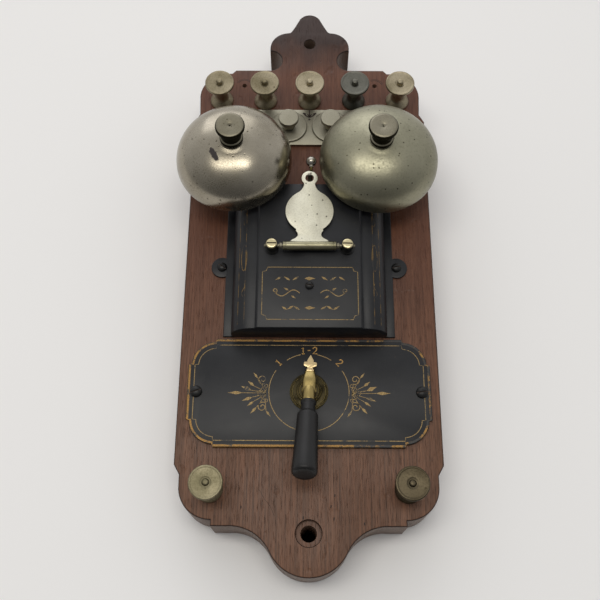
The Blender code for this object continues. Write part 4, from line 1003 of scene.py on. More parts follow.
@dataclass
class BindingPost:
    """One binding post: a turned post with its stud, and the thumb nut that clamps the wire."""

    name: str
    finish: Finish
    flange_r: float = 7.5
    column_r: float = 4.0
    shoulder_h: float = 10.0
    stud_r: float = 2.0
    disc_r: float = 9.25
    neck_r: float = 5.0
    disc_t: float = 2.1
    length: float = 9.6
    recess_r: float = 2.7
    stud_foot: float = -29.0

    def build(self) -> None:
        """Make the post and its nut where the CAD nodes are."""
        x, z = centre_of("terminal_post_" + self.name)
        stud_top = front_of("terminal_post_" + self.name)
        post = [
            (0, stud_top), (self.stud_r * 0.72, stud_top - 0.15), (self.stud_r, stud_top - 1.1),
            (self.stud_r, self.shoulder_h), (self.column_r, self.shoulder_h), (self.column_r, 6.2),
            (self.column_r + 0.7, 4.4), (self.column_r + 2.4, 2.6), (self.flange_r - 0.3, 1.5),
            (self.flange_r, 1.0), (self.flange_r, 0.3), (self.stud_r, 0.3),
            (self.stud_r, self.stud_foot), (0, self.stud_foot),
        ]
        mesh = turned(eased(post, 0.5, 3), place(x, 0, z), steps=56)
        piece("binding_post_" + self.name, mesh, self.finish, "board", "terminal_post_" + self.name)
        top = front_of("terminal_nut_" + self.name)
        seat = top - self.length
        bore = self.stud_r + 0.1
        nut = [
            (bore, top - 0.55), (self.recess_r, top - 0.45), (self.recess_r + 0.5, top - 0.25),
            (self.disc_r - 1.5, top - 0.2), (self.disc_r - 1.0, top), (self.disc_r - 0.3, top - 0.05),
            (self.disc_r, top - 0.5), (self.disc_r, top - self.disc_t + 0.4),
            (self.disc_r - 0.5, top - self.disc_t), (self.neck_r + 1.4, top - self.disc_t - 0.5),
            (self.neck_r + 0.2, top - self.disc_t - 1.8), (self.neck_r, seat + 3.6),
            (self.neck_r, seat + 0.3), (self.neck_r - 0.3, seat), (bore, seat), (bore, top - 0.55),
        ]
        profile = eased(nut, 0.35, 3)[:-1]
        flutes = (top - self.disc_t + 0.5, top - 0.55, 0.12)
        mesh = turned(profile, place(x, 0, z), steps=144, flutes=flutes)
        body = "thumb_nut_" + self.name
        piece("thumb_nut_disc_" + self.name, mesh, self.finish, body, "terminal_nut_" + self.name)


@dataclass
class Arrester:
    """The lightning arrester: an earth plate, two line discs and the knobs that clamp them."""

    disc_r: float = 11.8
    knob_r: float = 6.4
    neck_r: float = 4.0
    head_t: float = 3.0

    def build(self) -> None:
        """Make the plate with its earth mark, and the discs and knobs."""
        low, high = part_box("arrester_plate")
        front = front_of("arrester_plate")
        half_w, z_low, z_high = high.x / MM, low.z / MM, high.z / MM
        plate = block((-half_w, half_w), (0.3, front), (z_low, z_high), 0.25)
        places = {side: centre_of("arrester_disc_" + side) for side in ("left", "right")}
        plate = carve(plate, [drill(*spot, 2.6, -2, front, 0.1) for spot in places.values()])
        piece("earth_plate", plate, PLATE_NICKEL, "board", "arrester_plate")
        self.earth_mark(front, z_high)
        for side, (x, z) in places.items():
            top = front_of("arrester_disc_" + side)
            disc = [(2.3, top - 0.05), (self.disc_r - 0.5, top)]
            disc += [(self.disc_r, top - 0.4), (self.disc_r, top - 1.2), (2.3, top - 1.2)]
            mesh = turned(eased([*disc, disc[0]], 0.25)[:-1], place(x, 0, z), steps=96)
            piece("line_disc_" + side, mesh, PLATE_NICKEL, "board", "arrester_disc_" + side)
            head = front_of("arrester_knob_" + side)
            knob = [
                (0, head), (self.knob_r - 0.4, head), (self.knob_r, head - 0.5),
                (self.knob_r, head - self.head_t + 0.3), (self.knob_r - 0.3, head - self.head_t),
                (self.neck_r + 0.3, head - self.head_t - 0.4), (self.neck_r, head - self.head_t - 1.2),
                (self.neck_r, top + 0.3), (2.0, top + 0.3), (2.0, -11.0), (0, -11.0),
            ]
            flutes = (head - self.head_t + 0.35, head - 0.55, 0.1)
            mesh = turned(eased(knob, 0.3), place(x, 0, z), steps=96, flutes=flutes)
            piece("clamp_knob_" + side, mesh, PLATE_NICKEL, "arrester_clamp_" + side, "arrester_knob_" + side)

    def earth_mark(self, front: float, top: float) -> None:
        """The engraved earth arrow between the discs."""
        tip = top - 7.6
        strokes = [[(0, top - 0.3), (0, tip + 1.6)]]
        for s in (-1, 1):
            strokes.append([(s * 3.9, top - 3.0), (s * 3.0, tip + 3.6), (s * 1.6, tip + 2.4), (0, tip + 1.8)])
            strokes.append([(s * 2.4, top - 3.4), (s * 4.3, top - 2.6)])
            strokes.append([(s * 1.3, tip + 4.0), (0, tip + 2.2)])
        marks = [flat_line(stroke, front, 0.85) for stroke in strokes]
        marks.append(leaf((-0.9, tip + 0.1), (0.9, tip + 0.1), 1.6, front))
        piece("earth_mark", merged(marks), DIRT_AND_SHADE, "board")


@dataclass
class Gong:
    """One gong on its post, with the knurled nut that clamps its crown."""

    side: str
    finish: Finish
    wall: float = 1.6
    depth: float = 24.5
    power: float = 2.2
    bore: float = 2.9
    post_r: float = 4.2
    nut_r: float = 8.6
    neck_r: float = 5.7
    crown_row: int = 6

    def dome(self, radius: float, depth: float, rim: float) -> list[Point]:
        """Half a superellipse from near the crown to the rim."""
        steps = 40
        points = []
        for i in range(self.crown_row, steps + 1):
            turn = math.pi / 2 * i / steps
            across = math.sin(turn) ** (2 / self.power)
            rise = max(math.cos(turn), 0.0) ** (2 / self.power)
            points.append((radius * across, rim + depth * rise))
        return points

    def build(self) -> None:
        """Make the gong, its post and its nut."""
        low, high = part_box("gong_" + self.side)
        x, z = centre_of("gong_" + self.side)
        radius = (high.z - low.z) / 2 / MM
        crown = front_of("gong_" + self.side)
        rim = crown - self.depth
        outer = self.dome(radius, self.depth, rim)
        outer = [(self.bore, crown), (7.4, crown), (8.0, crown - 0.12), *outer]
        inner = self.dome(radius - self.wall, self.depth - self.wall, rim)
        lip = [(radius - 0.1, rim - 0.22), (radius - 0.5, rim - 0.4), (radius - self.wall + 0.3, rim - 0.3)]
        profile = outer + lip + inner[::-1] + [(self.bore, crown - self.wall)]
        mesh = turned(profile, place(x, 0, z), steps=144)
        piece("gong_shell_" + self.side, mesh, self.finish, "board", "gong_" + self.side)
        self.post(x, z, crown)
        self.nut(x, z, crown)

    def post(self, x: float, z: float, crown: float) -> None:
        """The turned post that holds the gong off the board."""
        seat = crown - self.wall - 0.5
        top = front_of("gong_post_" + self.side)
        profile = [
            (0, top), (2.6, top), (2.6, seat), (self.post_r + 1.3, seat),
            (self.post_r + 1.3, seat - 1.6), (self.post_r, seat - 2.4), (self.post_r, 4.0),
            (self.post_r + 0.8, 2.6), (7.0, 1.8), (7.0, 0.3), (2.6, 0.3), (2.6, -11.0), (0, -11.0),
        ]
        mesh = turned(eased(profile, 0.4), place(x, 0, z), steps=48)
        piece("gong_pillar_" + self.side, mesh, THUMB_NICKEL, "board", "gong_post_" + self.side)

    def nut(self, x: float, z: float, crown: float) -> None:
        """The thumb nut, knurled on its side and dimpled on its top."""
        top = front_of("gong_nut_" + self.side)
        low = crown + 0.3
        stud = front_of("gong_post_" + self.side)
        profile = [
            (0, top - 1.1), (0.5, top - 1.0), (1.3, top - 0.45), (3.2, top - 0.1),
            (self.nut_r - 1.6, top), (self.nut_r - 0.5, top - 0.35), (self.nut_r, top - 1.1),
            (self.nut_r, top - 2.7), (self.nut_r - 0.5, top - 3.3), (self.neck_r + 0.9, top - 5.6),
            (self.neck_r, top - 7.0), (self.neck_r, low + 2.4), (self.neck_r + 1.2, low + 1.6),
            (self.neck_r + 1.2, low), (self.bore, low), (self.bore, stud + 0.3), (0, stud + 0.3),
        ]
        flutes = (top - 2.8, top - 1.0, 0.25)
        mesh = turned(eased(profile, 0.3), place(x, 0, z), steps=132, flutes=flutes)
        piece("gong_thumb_nut_" + self.side, mesh, KNOB_NICKEL, "board", "gong_nut_" + self.side, rim=KNOB_RIM)


@dataclass
class Cover:
    """The japanned steel cover with its raised front, screws and worn gilt lining."""

    half_w: float = 45.5
    flange_half: float = 50.4
    flange_t: float = 1.2
    wall: float = 1.2
    height: float = 17.3
    shoulder_h: float = 15.5
    flat_half: float = 30.0
    round_r: float = 12.5
    skirt_h: float = 4.5
    ear_r: float = 6.5
    ear_sweep: float = 110.7

    def side_height(self, x: float) -> float:
        """Height of the rounded side at a distance across from the middle."""
        over = (abs(x) - (self.half_w - self.round_r)) / self.round_r
        if over <= 0:
            return self.shoulder_h
        rise = self.shoulder_h - self.skirt_h
        return self.skirt_h + rise * math.sqrt(max(0.0, 1 - min(over, 1.0) ** 2))

    def profile(self, shrink: float, foot: float) -> list[Point]:
        """The cover's (x, h) section: skirt, round side, step and flat front."""
        rise = self.shoulder_h - self.skirt_h
        half = [(self.flat_half - shrink, self.height - shrink)]
        half += [(self.flat_half - shrink + 1.0, self.shoulder_h - shrink)]
        for i in range(19):
            turn = math.radians(90 - 5 * i)
            reach = self.round_r - shrink
            x = self.half_w - self.round_r + reach * math.cos(turn)
            half.append((x, self.skirt_h + (rise - shrink) * math.sin(turn)))
        return mirrored([*half, (half[-1][0], foot)])

    def build(self) -> None:
        """Make the shell with its flange and ears, the screws and the lining."""
        low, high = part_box("instrument_cover")
        z_low, z_high = low.z / MM, high.z / MM
        shell = section(self.profile(0.0, 0.6), z_low, z_high, 0.5)
        hollow = section(self.profile(self.wall, -1.0), z_low + self.wall, z_high - self.wall)
        screw_z = centre_of("cover_centre_screw")[1]
        slots = [
            hollow,
            block((-8.6, 4.2), (3.6, 9.2), (z_high - 3, z_high + 1)),
            block((-3.5, 3.5), (7.5, self.height - 2 * self.wall), (z_high - 3, z_high + 1)),
            drill(0, screw_z, 1.5, self.height - 4, self.height, 0.2),
        ]
        piece("cover_shell", carve(shell, slots), JAPAN, "board", "instrument_cover")
        self.flange(z_low, z_high)
        for side in ("left", "right"):
            turn = 35.0 if side == "left" else -12.0
            seat = 0.3 + self.flange_t + 0.4
            Screw("ear_screw_" + side, "cover_screw_" + side, seat, 2.9, 1.8, turn, SCREW_JAPAN_AND_PILLAR_SHADE).build()
        Screw("front_screw", "cover_centre_screw", self.height + 0.3, 2.5, 1.6, 8.0, SCREW_JAPAN_AND_PILLAR_SHADE).build()
        self.lining(z_low, z_high)

    def flange(self, z_low: float, z_high: float) -> None:
        """The flat flange along both sides, with an ear for a screw on each."""
        top = 0.3 + self.flange_t
        parts = []
        for side in ("left", "right"):
            sign = -1 if side == "left" else 1
            x, z = centre_of("cover_screw_" + side)
            ear = arc((abs(x), z), self.ear_r, -self.ear_sweep, self.ear_sweep, 26)
            inner = self.half_w - 2.0
            strip = [(inner, z_low), (self.flange_half, z_low), *ear]
            strip += [(self.flange_half, z_high), (inner, z_high)]
            outline = [(sign * px, pz) for px, pz in strip]
            plate = slab(outline, 0.3, top, 0.35, both=False)
            parts.append(carve(plate, [drill(x, z, 1.6, -1, top, 0.3)]))
        piece("cover_flange", merged(parts), JAPAN, "board")

    def lining(self, z_low: float, z_high: float) -> None:
        """The gilt frame on the front, its plain ornament, and the faint lines on the sides."""
        h = self.height
        left, right, bottom, top, notch = -27.4, 28.2, z_low + 4.9, z_low + 37.6, 3.0
        panel = []
        for (cx, cz), (sx, sz) in (
            ((left, bottom), (1, 1)), ((left, top), (1, -1)), ((right, top), (-1, -1)),
            ((right, bottom), (-1, 1)),
        ):
            cut = (cx + sx * notch * 0.75, cz + sz * notch * 0.75)
            corner = [(cx + sx * notch, cz), cut, (cx, cz + sz * notch)]
            panel += corner if sx == sz else corner[::-1]
        lines = [flat_line(panel[::-1], h, 0.40, closed=True)]
        lines += self.ornament((left + right) / 2, (bottom + top) / 2, h)
        piece("gilt_front_panel", merged(lines), GILT, "board")
        faint = []
        start, end = z_low + 3, z_high - 4
        for sign in (-1, 1):
            for x in (37.6, 41.4):
                faint.append(self.side_line([(sign * x, z) for z in (start, (start + end) / 2, end)], 0.35))
            loop = [(38.6 + 1.6 * math.cos(t), z_low + 45 + 8.5 * math.sin(t)) for t in angles_round(28)]
            faint.append(self.side_line([(sign * x, z) for x, z in loop], 0.4, closed=True))
            for drop in (20.0, 66.0):
                foot = z_low + drop
                stem = [(sign * (38.6 + 0.9 * math.sin(t)), foot + 9 * t / math.tau) for t in angles_round(16)]
                faint.append(self.side_line(stem, 0.4))
        piece("gilt_side_lines", merged(faint), GILT_FAINT, "board")

    def side_line(self, points: list[Point], width: float, closed: bool = False) -> bpy.types.Mesh:
        """A painted line that lies on the rounded side."""
        path, facing = [], []
        for x, z in points:
            path.append(place(x, self.side_height(x), z))
            slope = (self.side_height(x + 0.01) - self.side_height(x - 0.01)) / 0.02
            facing.append(Vector((-slope, -1.0, 0.0)).normalized())
        return ribbon(path, facing, width, closed)

    def ornament(self, x: float, z: float, h: float) -> list[bpy.types.Mesh]:
        """Three rows of plain scrolls and lozenges that fill the panel."""
        shapes = []
        for row, (drop, reach) in enumerate(((9.2, 21.0), (-9.2, 17.0))):
            shapes.append(leaf((x - 3.2, z + drop), (x + 3.2, z + drop), 2.2, h))
            for sign in (-1, 1):
                for k in range(3):
                    at = x + sign * (6.0 + (reach - 6.0) * (k + 0.5) / 3)
                    lean = 1.2 if (k + row) % 2 else -1.2
                    base, tip = (at - sign * 1.9, z + drop - lean), (at + sign * 1.9, z + drop + lean)
                    shapes.append(leaf(base, tip, 1.3, h))
        for sign in (-1, 1):
            wave = [(x + sign * (6 + 14 * t / 20), z + 1.9 * math.sin(t / 20 * math.tau)) for t in range(21)]
            shapes.append(flat_line(wave, h, 0.5))
            shapes.append(flat_line(spiral((x + sign * 20.4, z + 1.5), 1.6, 0.5, 270, -sign * 1.1), h, 0.45))
            shapes.append(leaf((x + sign * 12.4, z + 1.6), (x + sign * 15.4, z + 3.4), 1.2, h))
            shapes.append(leaf((x + sign * 11.0, z - 1.6), (x + sign * 8.2, z - 3.4), 1.2, h))
        return shapes


def angles_round(count: int) -> list[float]:
    """Angles that go once round, the last one short of the first."""
    return [math.tau * i / count for i in range(count)]


@dataclass
class DropShutter:
    """The drop shutter with its ring, rolled round a hinge pin between two screwed pillars."""

    disc_r: float = 14.4
    disc_arm: float = 24.0
    ring_arm: float = 46.6
    ring_r: float = 4.9
    hole_r: float = 2.5
    neck: float = 3.4
    tube_r: float = 2.6
    tube_half: float = 15.7
    axis_h: float = 21.5
    thickness: float = 1.0
    pillar_low: float = 17.6

    def outline(self, axis_z: float) -> list[Point]:
        """Foot, waist, disc, shoulder, neck and ring, from the hinge up."""
        low = math.degrees(math.asin(-12.0 / self.disc_r))
        high = math.degrees(math.acos(7.2 / self.disc_r))
        ring_start = -math.degrees(math.acos(self.neck / self.ring_r))
        half = [(11.6, 1.4), (11.8, 3.4), (10.4, 4.9), (8.4, 5.9), (7.2, 7.2)]
        half += [(6.9, 8.4), (7.3, 9.8), (8.1, 10.7), (8.1, 11.6)]
        half += arc((0, self.disc_arm), self.disc_r, low, high, 40)
        half += [(6.2, self.disc_arm + 13.2), (4.9, self.disc_arm + 14.4), (3.9, self.disc_arm + 16.2)]
        half += [(self.neck, self.disc_arm + 18.0)]
        half += arc((0, self.ring_arm), self.ring_r, ring_start, 90, 24)
        return [(x, axis_z + z) for x, z in mirrored(half[::-1])]

    def build(self) -> None:
        """Make the shutter, its pin with collars, the pillars and their screws."""
        low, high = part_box("shutter_hinge_pin")
        axis_z = (low.z + high.z) / 2 / MM
        back = self.axis_h - self.tube_r
        plate = slab(self.outline(axis_z), back, back + self.thickness, 0.22)
        hole = drill(0, axis_z + self.ring_arm, self.hole_r, back - 1, back + self.thickness, 0.2)
        plate = carve(plate, [hole])
        axis = place(0, self.axis_h, axis_z)
        half, bore = self.tube_half, 1.4
        tube = [(bore, half), (self.tube_r - 0.3, half), (self.tube_r, half - 0.3)]
        tube += [(self.tube_r, half - 1.3), (self.tube_r - 0.2, half - 1.5), (self.tube_r - 0.2, half - 1.9)]
        tube += [(self.tube_r, half - 2.1)]
        tube += [(r, -h) for r, h in reversed(tube)]
        roll = turned(tube, axis, Axis.RIGHT, 56)
        piece("shutter_plate", plate, SHUTTER_NICKEL, "shutter", "drop_shutter")
        piece("shutter_roll", roll, HINGE_NICKEL, "shutter")
        reach = high.x / MM
        pin = [(0, reach), (0.8, reach - 0.1), (1.1, reach - 0.5)]
        pin += [(1.1, 17.6), (1.9, 17.4), (1.9, 16.1), (1.1, 16.0)]
        pin += [(r, -h) for r, h in reversed(pin)]
        piece("hinge_pin", turned(pin, axis, Axis.RIGHT, 40), KNOB_NICKEL, "board", "shutter_hinge_pin")
        for side, turn in (("left", 0.0), ("right", 1.5)):
            self.pillar(side, axis_z, turn)

    def pillar(self, side: str, axis_z: float, turn: float) -> None:
        """One pillar, black as painted shade under its screw head, and the slotted screw on it."""
        x = centre_of("shutter_lug_" + side)[0]
        top = front_of("shutter_lug_" + side)
        low = self.pillar_low
        shape = [(0, top), (3.0, top), (3.3, top - 0.3)]
        shape += [(3.3, low + 1.6), (4.0, low + 0.8), (4.0, low), (0, low)]
        pillar = turned(eased(shape, 0.3), place(x, 0, axis_z), steps=48)
        hole = turned([(0, 6), (1.4, 6), (1.4, -6), (0, -6)], place(x, self.axis_h, axis_z), Axis.RIGHT, 24)
        # the pillar's black finish is painted shade: its sides lie dark under the screw head
        piece("hinge_pillar_" + side, carve(pillar, [hole]), SCREW_JAPAN_AND_PILLAR_SHADE, "board", "shutter_lug_" + side)
        node = "shutter_lug_screw_" + side
        Screw("pillar_screw_" + side, node, top + 0.3, 3.2, 1.1, turn, SCREW_BRIGHT, 4.0).build()


@dataclass
class DialPlate:
    """The japanned dial plate with its gilt edge, lining, circle, figures and sprays."""

    corner: float = 16.0
    step: float = 1.8
    circle_r: float = 22.9
    label_r: float = 25.0

    def outline(self, half_w: float, half_h: float, inset: float, step: float, middle: float) -> list[Point]:
        """A rectangle with stepped round corners, drawn in from the plate's edge.

        Args:
            half_w: Half the plate's width.
            half_h: Half its height.
            inset: How far inside the edge.
            step: The step where a straight side meets its corner.
            middle: The plate's middle, up the board.

        Returns:
            The closed outline.
        """
        x, z = half_w - self.corner, half_h - self.corner
        turn_r = self.corner - inset - step
        top = [(x, half_h - inset), *arc((x, z), turn_r, 88, 2, 24), (half_w - inset, z)]
        bottom = [(px, -pz) for px, pz in reversed(top)]
        return [(px, middle + pz) for px, pz in mirrored(top + bottom)]

    def build(self) -> None:
        """Make the plate, its screws and its lining."""
        low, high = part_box("dial_plate")
        half_w, half_h = high.x / MM, (high.z - low.z) / 2 / MM
        middle = (low.z + high.z) / 2 / MM
        front = front_of("dial_plate")
        plate = slab(self.outline(half_w, half_h, 0.0, self.step, middle), 0.3, front, 0.45, both=False)
        spots = {side: centre_of("dial_plate_screw_" + side) for side in ("left", "right")}
        holes = [drill(0, middle, 5.3, -1, front, 0.2)]
        holes += [drill(*spot, 1.9, -1, front, 0.2) for spot in spots.values()]
        piece("dial_plate_japanned", carve(plate, holes), JAPAN, "board", "dial_plate", rim=GILT_EDGE)
        for side, turn in (("left", -20.0), ("right", -8.0)):
            node = "dial_plate_screw_" + side
            Screw("plate_screw_" + side, node, front + 0.3, 3.5, 2.0, turn, SCREW_JAPAN_AND_PILLAR_SHADE).build()
        band = flat_line(self.outline(half_w, half_h, 1.05, self.step, middle), front, 1.15, closed=True)
        piece("gilt_edge_band", band, GILT_EDGE, "board")
        lines = [flat_line(self.outline(half_w, half_h, 3.9, 2.1, middle), front, 0.38, closed=True)]
        for start, end in ((-34, -12), (12, 34), (56, 168), (192, 304)):
            lines.append(flat_line(arc((0, middle), self.circle_r, 90 - start, 90 - end, 30), front, 0.42))
        piece("gilt_figures", merged(self.figures(middle, front)), GILT_FIGURE, "board")
        for sign in (-1, 1):
            lines += self.spray(sign, middle, front)
        piece("gilt_dial_lining", merged(lines), GILT, "board")

    def figures(self, middle: float, h: float) -> list[bpy.types.Mesh]:
        """The positions' numbers, each upright on its own radius."""
        one = [[(-0.9, 1.1), (0.0, 2.0), (0.0, -2.0)], [(-0.8, -2.0), (0.8, -2.0)]]
        bowl = [(-1.1, 1.0), (-0.8, 1.7), (0.0, 2.0), (0.9, 1.7), (1.1, 0.8), (0.6, -0.2)]
        two = [[*bowl, (-1.2, -2.0), (1.3, -2.0)]]
        dash = [[(-0.8, 0.0), (0.8, 0.0)]]
        labels = {-45.0: [(0.0, one)], 0.0: [(-3.4, one), (0.0, dash), (3.4, two)], 45.0: [(0.0, two)]}
        lines = []
        for angle, signs in labels.items():
            turn = math.radians(angle)
            for shift, strokes in signs:
                for stroke in strokes:
                    points = []
                    for px, pz in stroke:
                        across, out = px + shift, pz + self.label_r
                        x = out * math.sin(turn) + across * math.cos(turn)
                        points.append((x, middle + out * math.cos(turn) - across * math.sin(turn)))
                    lines.append(flat_line(points, h, 0.62))
        return lines

    def spray(self, sign: int, middle: float, h: float) -> list[bpy.types.Mesh]:
        """A spray of leaves on thin stems, with a scroll above and below its knot."""
        leaves = [
            ((38.2, -0.6), (46.6, -0.6), 2.0), ((33.0, 0.9), (38.9, 3.3), 2.5),
            ((32.4, -3.2), (38.2, -5.3), 2.0), ((31.3, 3.4), (35.0, 6.3), 1.7),
            ((31.4, -5.6), (35.2, -8.4), 1.5), ((29.4, 8.2), (32.0, 11.6), 1.3),
            ((29.8, -9.0), (33.2, -12.8), 1.6), ((24.3, -11.0), (21.6, -14.6), 1.3),
        ]
        knot = (24.6, -0.7)
        shapes = []
        for (bx, bz), (tx, tz), width in leaves:
            shapes.append(leaf((sign * bx, middle + bz), (sign * tx, middle + tz), width, h))
            bend = ((knot[0] + bx) / 2 + 0.2, (knot[1] + bz) / 2 + 0.12 * (bz - knot[1]))
            stem = eased([knot, bend, (bx, bz)], 4.0, 4)
            shapes.append(flat_line([(sign * px, middle + pz) for px, pz in stem], h, 0.3))
        for drop, start in ((7.4, 240), (-8.8, 120)):
            turns = 1.35 if drop > 0 else -1.35
            curl = spiral((26.5, drop), 2.9, 0.7, start, turns)
            shapes.append(flat_line([(sign * px, middle + pz) for px, pz in curl], h, 0.42))
        rings = ((25.8, 1.5, 1.3), (25.8, -3.0, 1.3), (28.0, -0.7, 1.4), (24.4, 3.6, 0.9), (24.4, -5.0, 0.9))
        for cx, cz, radius in rings:
            ring = arc((sign * cx, middle + cz), radius, 0, 342, 16)
            shapes.append(flat_line(ring, h, 0.3, closed=True))
        return shapes


@dataclass
class Selector:
    """The line selector: a brass boss, a lever with its pointer, and an ebonite handle."""

    boss_r: float = 11.0
    ring_r: float = 7.0
    hub_back: float = 5.4
    hub_front: float = 11.2
    bar_half: float = 3.75
    tilt: float = 20.0
    start: float = 8.7
    reach: float = 55.2
    grip_r: float = 7.0
    lean: float = 2.8
    bar_drop: float = 9.5
    crown_share: float = 0.385

    def build(self) -> None:
        """Make the boss, then the lever and its handle on the moving body."""
        z = centre_of("selector_boss")[1]
        self.boss(z)
        self.lever(z)
        self.handle(z)

    def stem(self, z: float) -> tuple[Vector, Vector]:
        """Where the lever's stem starts, and the direction in which it runs down and forwards."""
        lean = math.radians(self.tilt)
        root = place(0, (self.hub_back + self.hub_front) / 2, z)
        return root, Vector((0.0, -math.sin(lean), -math.cos(lean)))

    def place_lever(self, name: str, mesh: bpy.types.Mesh, finish: Finish, z: float, *nodes: str) -> None:
        """Add a piece of the lever, turned by the little that it has worn loose on its spindle."""
        middle = Matrix.Translation((0, 0, z * MM))
        mesh.transform(middle @ Matrix.Rotation(math.radians(self.lean), 4, "Y") @ middle.inverted())
        piece(name, mesh, finish, "selector", *nodes)

    def boss(self, z: float) -> None:
        """The turned boss with its rings, fixed to the plate."""
        low = front_of("dial_plate") + 0.3
        ring_top = self.hub_back - 0.4
        profile = [
            (3.1, ring_top), (self.ring_r - 1.6, ring_top), (self.ring_r - 1.3, ring_top - 0.3),
            (self.ring_r - 1.0, ring_top), (self.ring_r - 0.3, ring_top - 0.1),
            (self.ring_r, ring_top - 0.6), (self.ring_r, low + 1.4), (self.ring_r + 0.6, low + 1.2),
            (self.boss_r - 1.6, low + 1.2), (self.boss_r - 1.3, low + 0.9),
            (self.boss_r - 1.0, low + 1.15), (self.boss_r - 0.3, low + 1.0), (self.boss_r, low + 0.6),
            (self.boss_r, low), (5.0, low), (5.0, -2.0), (3.1, -2.0),
        ]
        mesh = turned(eased([*profile, profile[0]], 0.2)[:-1], place(0, 0, z), steps=96)
        piece("switch_boss", mesh, BOSS_DARK, "board", "selector_boss", rim=BOSS_BRASS)

    def lever(self, z: float) -> None:
        """The rounded brass bar over the hub, its socket below and the flat pointer above."""
        tip = (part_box("selector_pointer")[1].z / MM) - z
        crown = tip - 8.0
        bm = bmesh.new()
        rings = []
        rows = 26
        for i in range(rows + 1):
            t = i / rows
            up = crown - (crown + self.bar_drop) * t
            swell = math.sin(math.pi * min(1.0, t * 2.6) / 2) if t < self.crown_share else 1.0
            taper = 0.68 + 0.32 * swell if t < self.crown_share else 1.0 - 0.06 * (t - self.crown_share)
            half = self.bar_half * taper
            front = self.hub_front - 2.4 * (1 - swell) - 0.15
            back = self.hub_back + 0.3
            ring = []
            for k in range(24):
                angle = math.tau * k / 24
                c, s = math.cos(angle), math.sin(angle)
                px = half * math.copysign(abs(c) ** 0.5, c)
                ph = (front + back) / 2 + (front - back) / 2 * math.copysign(abs(s) ** 0.5, s)
                ring.append(bm.verts.new(place(px, ph, z + up)))
            rings.append(ring)
        for one, two in zip(rings, rings[1:]):
            bridge(bm, one, two)
        bm.faces.new(rings[0])
        bm.faces.new(rings[-1][::-1])
        bar = as_mesh(bm)
        socket_end = self.start - 0.3
        socket = [(0, 0), (3.5, 0), (3.5, self.start - 0.8), (3.2, socket_end), (0, socket_end)]
        hub = [(0, 6.6), (4.0, 6.6), (4.2, 6.2), (4.2, self.hub_back), (0, self.hub_back)]
        parts = [bar, turned(socket, *self.stem(z)), turned(hub, place(0, 0, z), steps=64)]
        self.place_lever("lever_bar", merged(parts), BRASS, z, "selector_pointer")
        half = [
            (0.0, tip), (0.9, tip - 1.6), (1.9, tip - 3.4), (1.75, tip - 4.3), (2.6, tip - 4.2),
            (3.6, tip - 4.5), (3.85, tip - 5.5), (3.5, tip - 6.7), (2.5, tip - 7.1), (1.6, tip - 7.3),
            (1.4, tip - 8.0), (2.0, crown - 0.6), (2.0, crown - 1.6),
        ]
        shape = [(px, z + pz) for px, pz in mirrored(eased(half, 0.5, 3))]
        pointer = slab(shape, self.hub_back + 2.0, self.hub_back + 4.2, 0.35)
        self.place_lever("lever_pointer", pointer, BRIGHT_BRASS, z)

    def handle(self, z: float) -> None:
        """The turned ebonite handle on the lever's tang."""
        start, end = self.start, self.reach
        profile = [
            (0, start), (3.9, start), (4.4, start + 0.5), (4.4, start + 1.5), (3.9, start + 2.1),
            (3.85, start + 3.6), (4.1, start + 7.6), (4.7, start + 8.5), (5.6, start + 8.9),
            (5.8, start + 9.5), (5.85, start + 11.0), (6.0, start + 18),
            (self.grip_r - 0.35, end - 12), (self.grip_r, end - 3.2), (self.grip_r - 0.2, end - 1.4),
            (self.grip_r - 1.0, end - 0.4), (self.grip_r - 2.2, end - 0.05), (0, end),
        ]
        mesh = turned(eased(profile, 0.6, 3), *self.stem(z), 96)
        self.place_lever("lever_handle", mesh, EBONITE, z, "selector_handle")


class HiddenWorks:
    """The CAD nodes that stay as they are, inside the cover or behind the plate."""

    finishes: dict[str, Finish] = {
        "armature_pivot": BRASS,
        "bell_armature": IRON,
        "bell_coil_left": COIL,
        "bell_coil_right": COIL,
        "bell_frame": IRON,
        "bell_magnet": IRON,
        "bell_yoke": IRON,
        "clapper_rod": BRASS,
        "contact_line_one": BRASS,
        "contact_line_both": BRASS,
        "contact_line_two": BRASS,
        "drop_bracket": IRON,
        "drop_coil": COIL,
        "drop_latch": STEEL,
        "latch_pin": BRASS,
        "selector_spindle": SPINDLE_STEEL,
        "selector_wiper": BRASS,
    }

    def dress(self) -> None:
        """Give each kept node the finish of what it is made of."""
        for name, finish in self.finishes.items():
            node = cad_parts[name]
            node.data.materials.clear()
            node.data.materials.append(finish.material())
            LOG.info("%s: kept, %s", name, type(finish).__name__)

    def ball(self) -> None:
        """The clapper's ball with the small collar that holds it on the rod."""
        low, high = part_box("clapper_ball")
        x, z = centre_of("clapper_ball")
        radius = (high.x - low.x) / 2 / MM
        h = (BOARD_FRONT_Y - (low.y + high.y) / 2) / MM
        dome = [(radius * math.sin(t), radius * math.cos(t)) for t in (i * math.pi / 24 for i in range(1, 22))]
        profile = [(0, radius), *dome, (1.3, -radius + 0.35), (1.3, -radius - 0.9), (0, -radius - 0.9)]
        mesh = turned(profile, place(x, h, z), Axis.UP, 48)
        piece("clapper_striker", mesh, BALL_NICKEL, "clapper", "clapper_ball")


# --- Studio


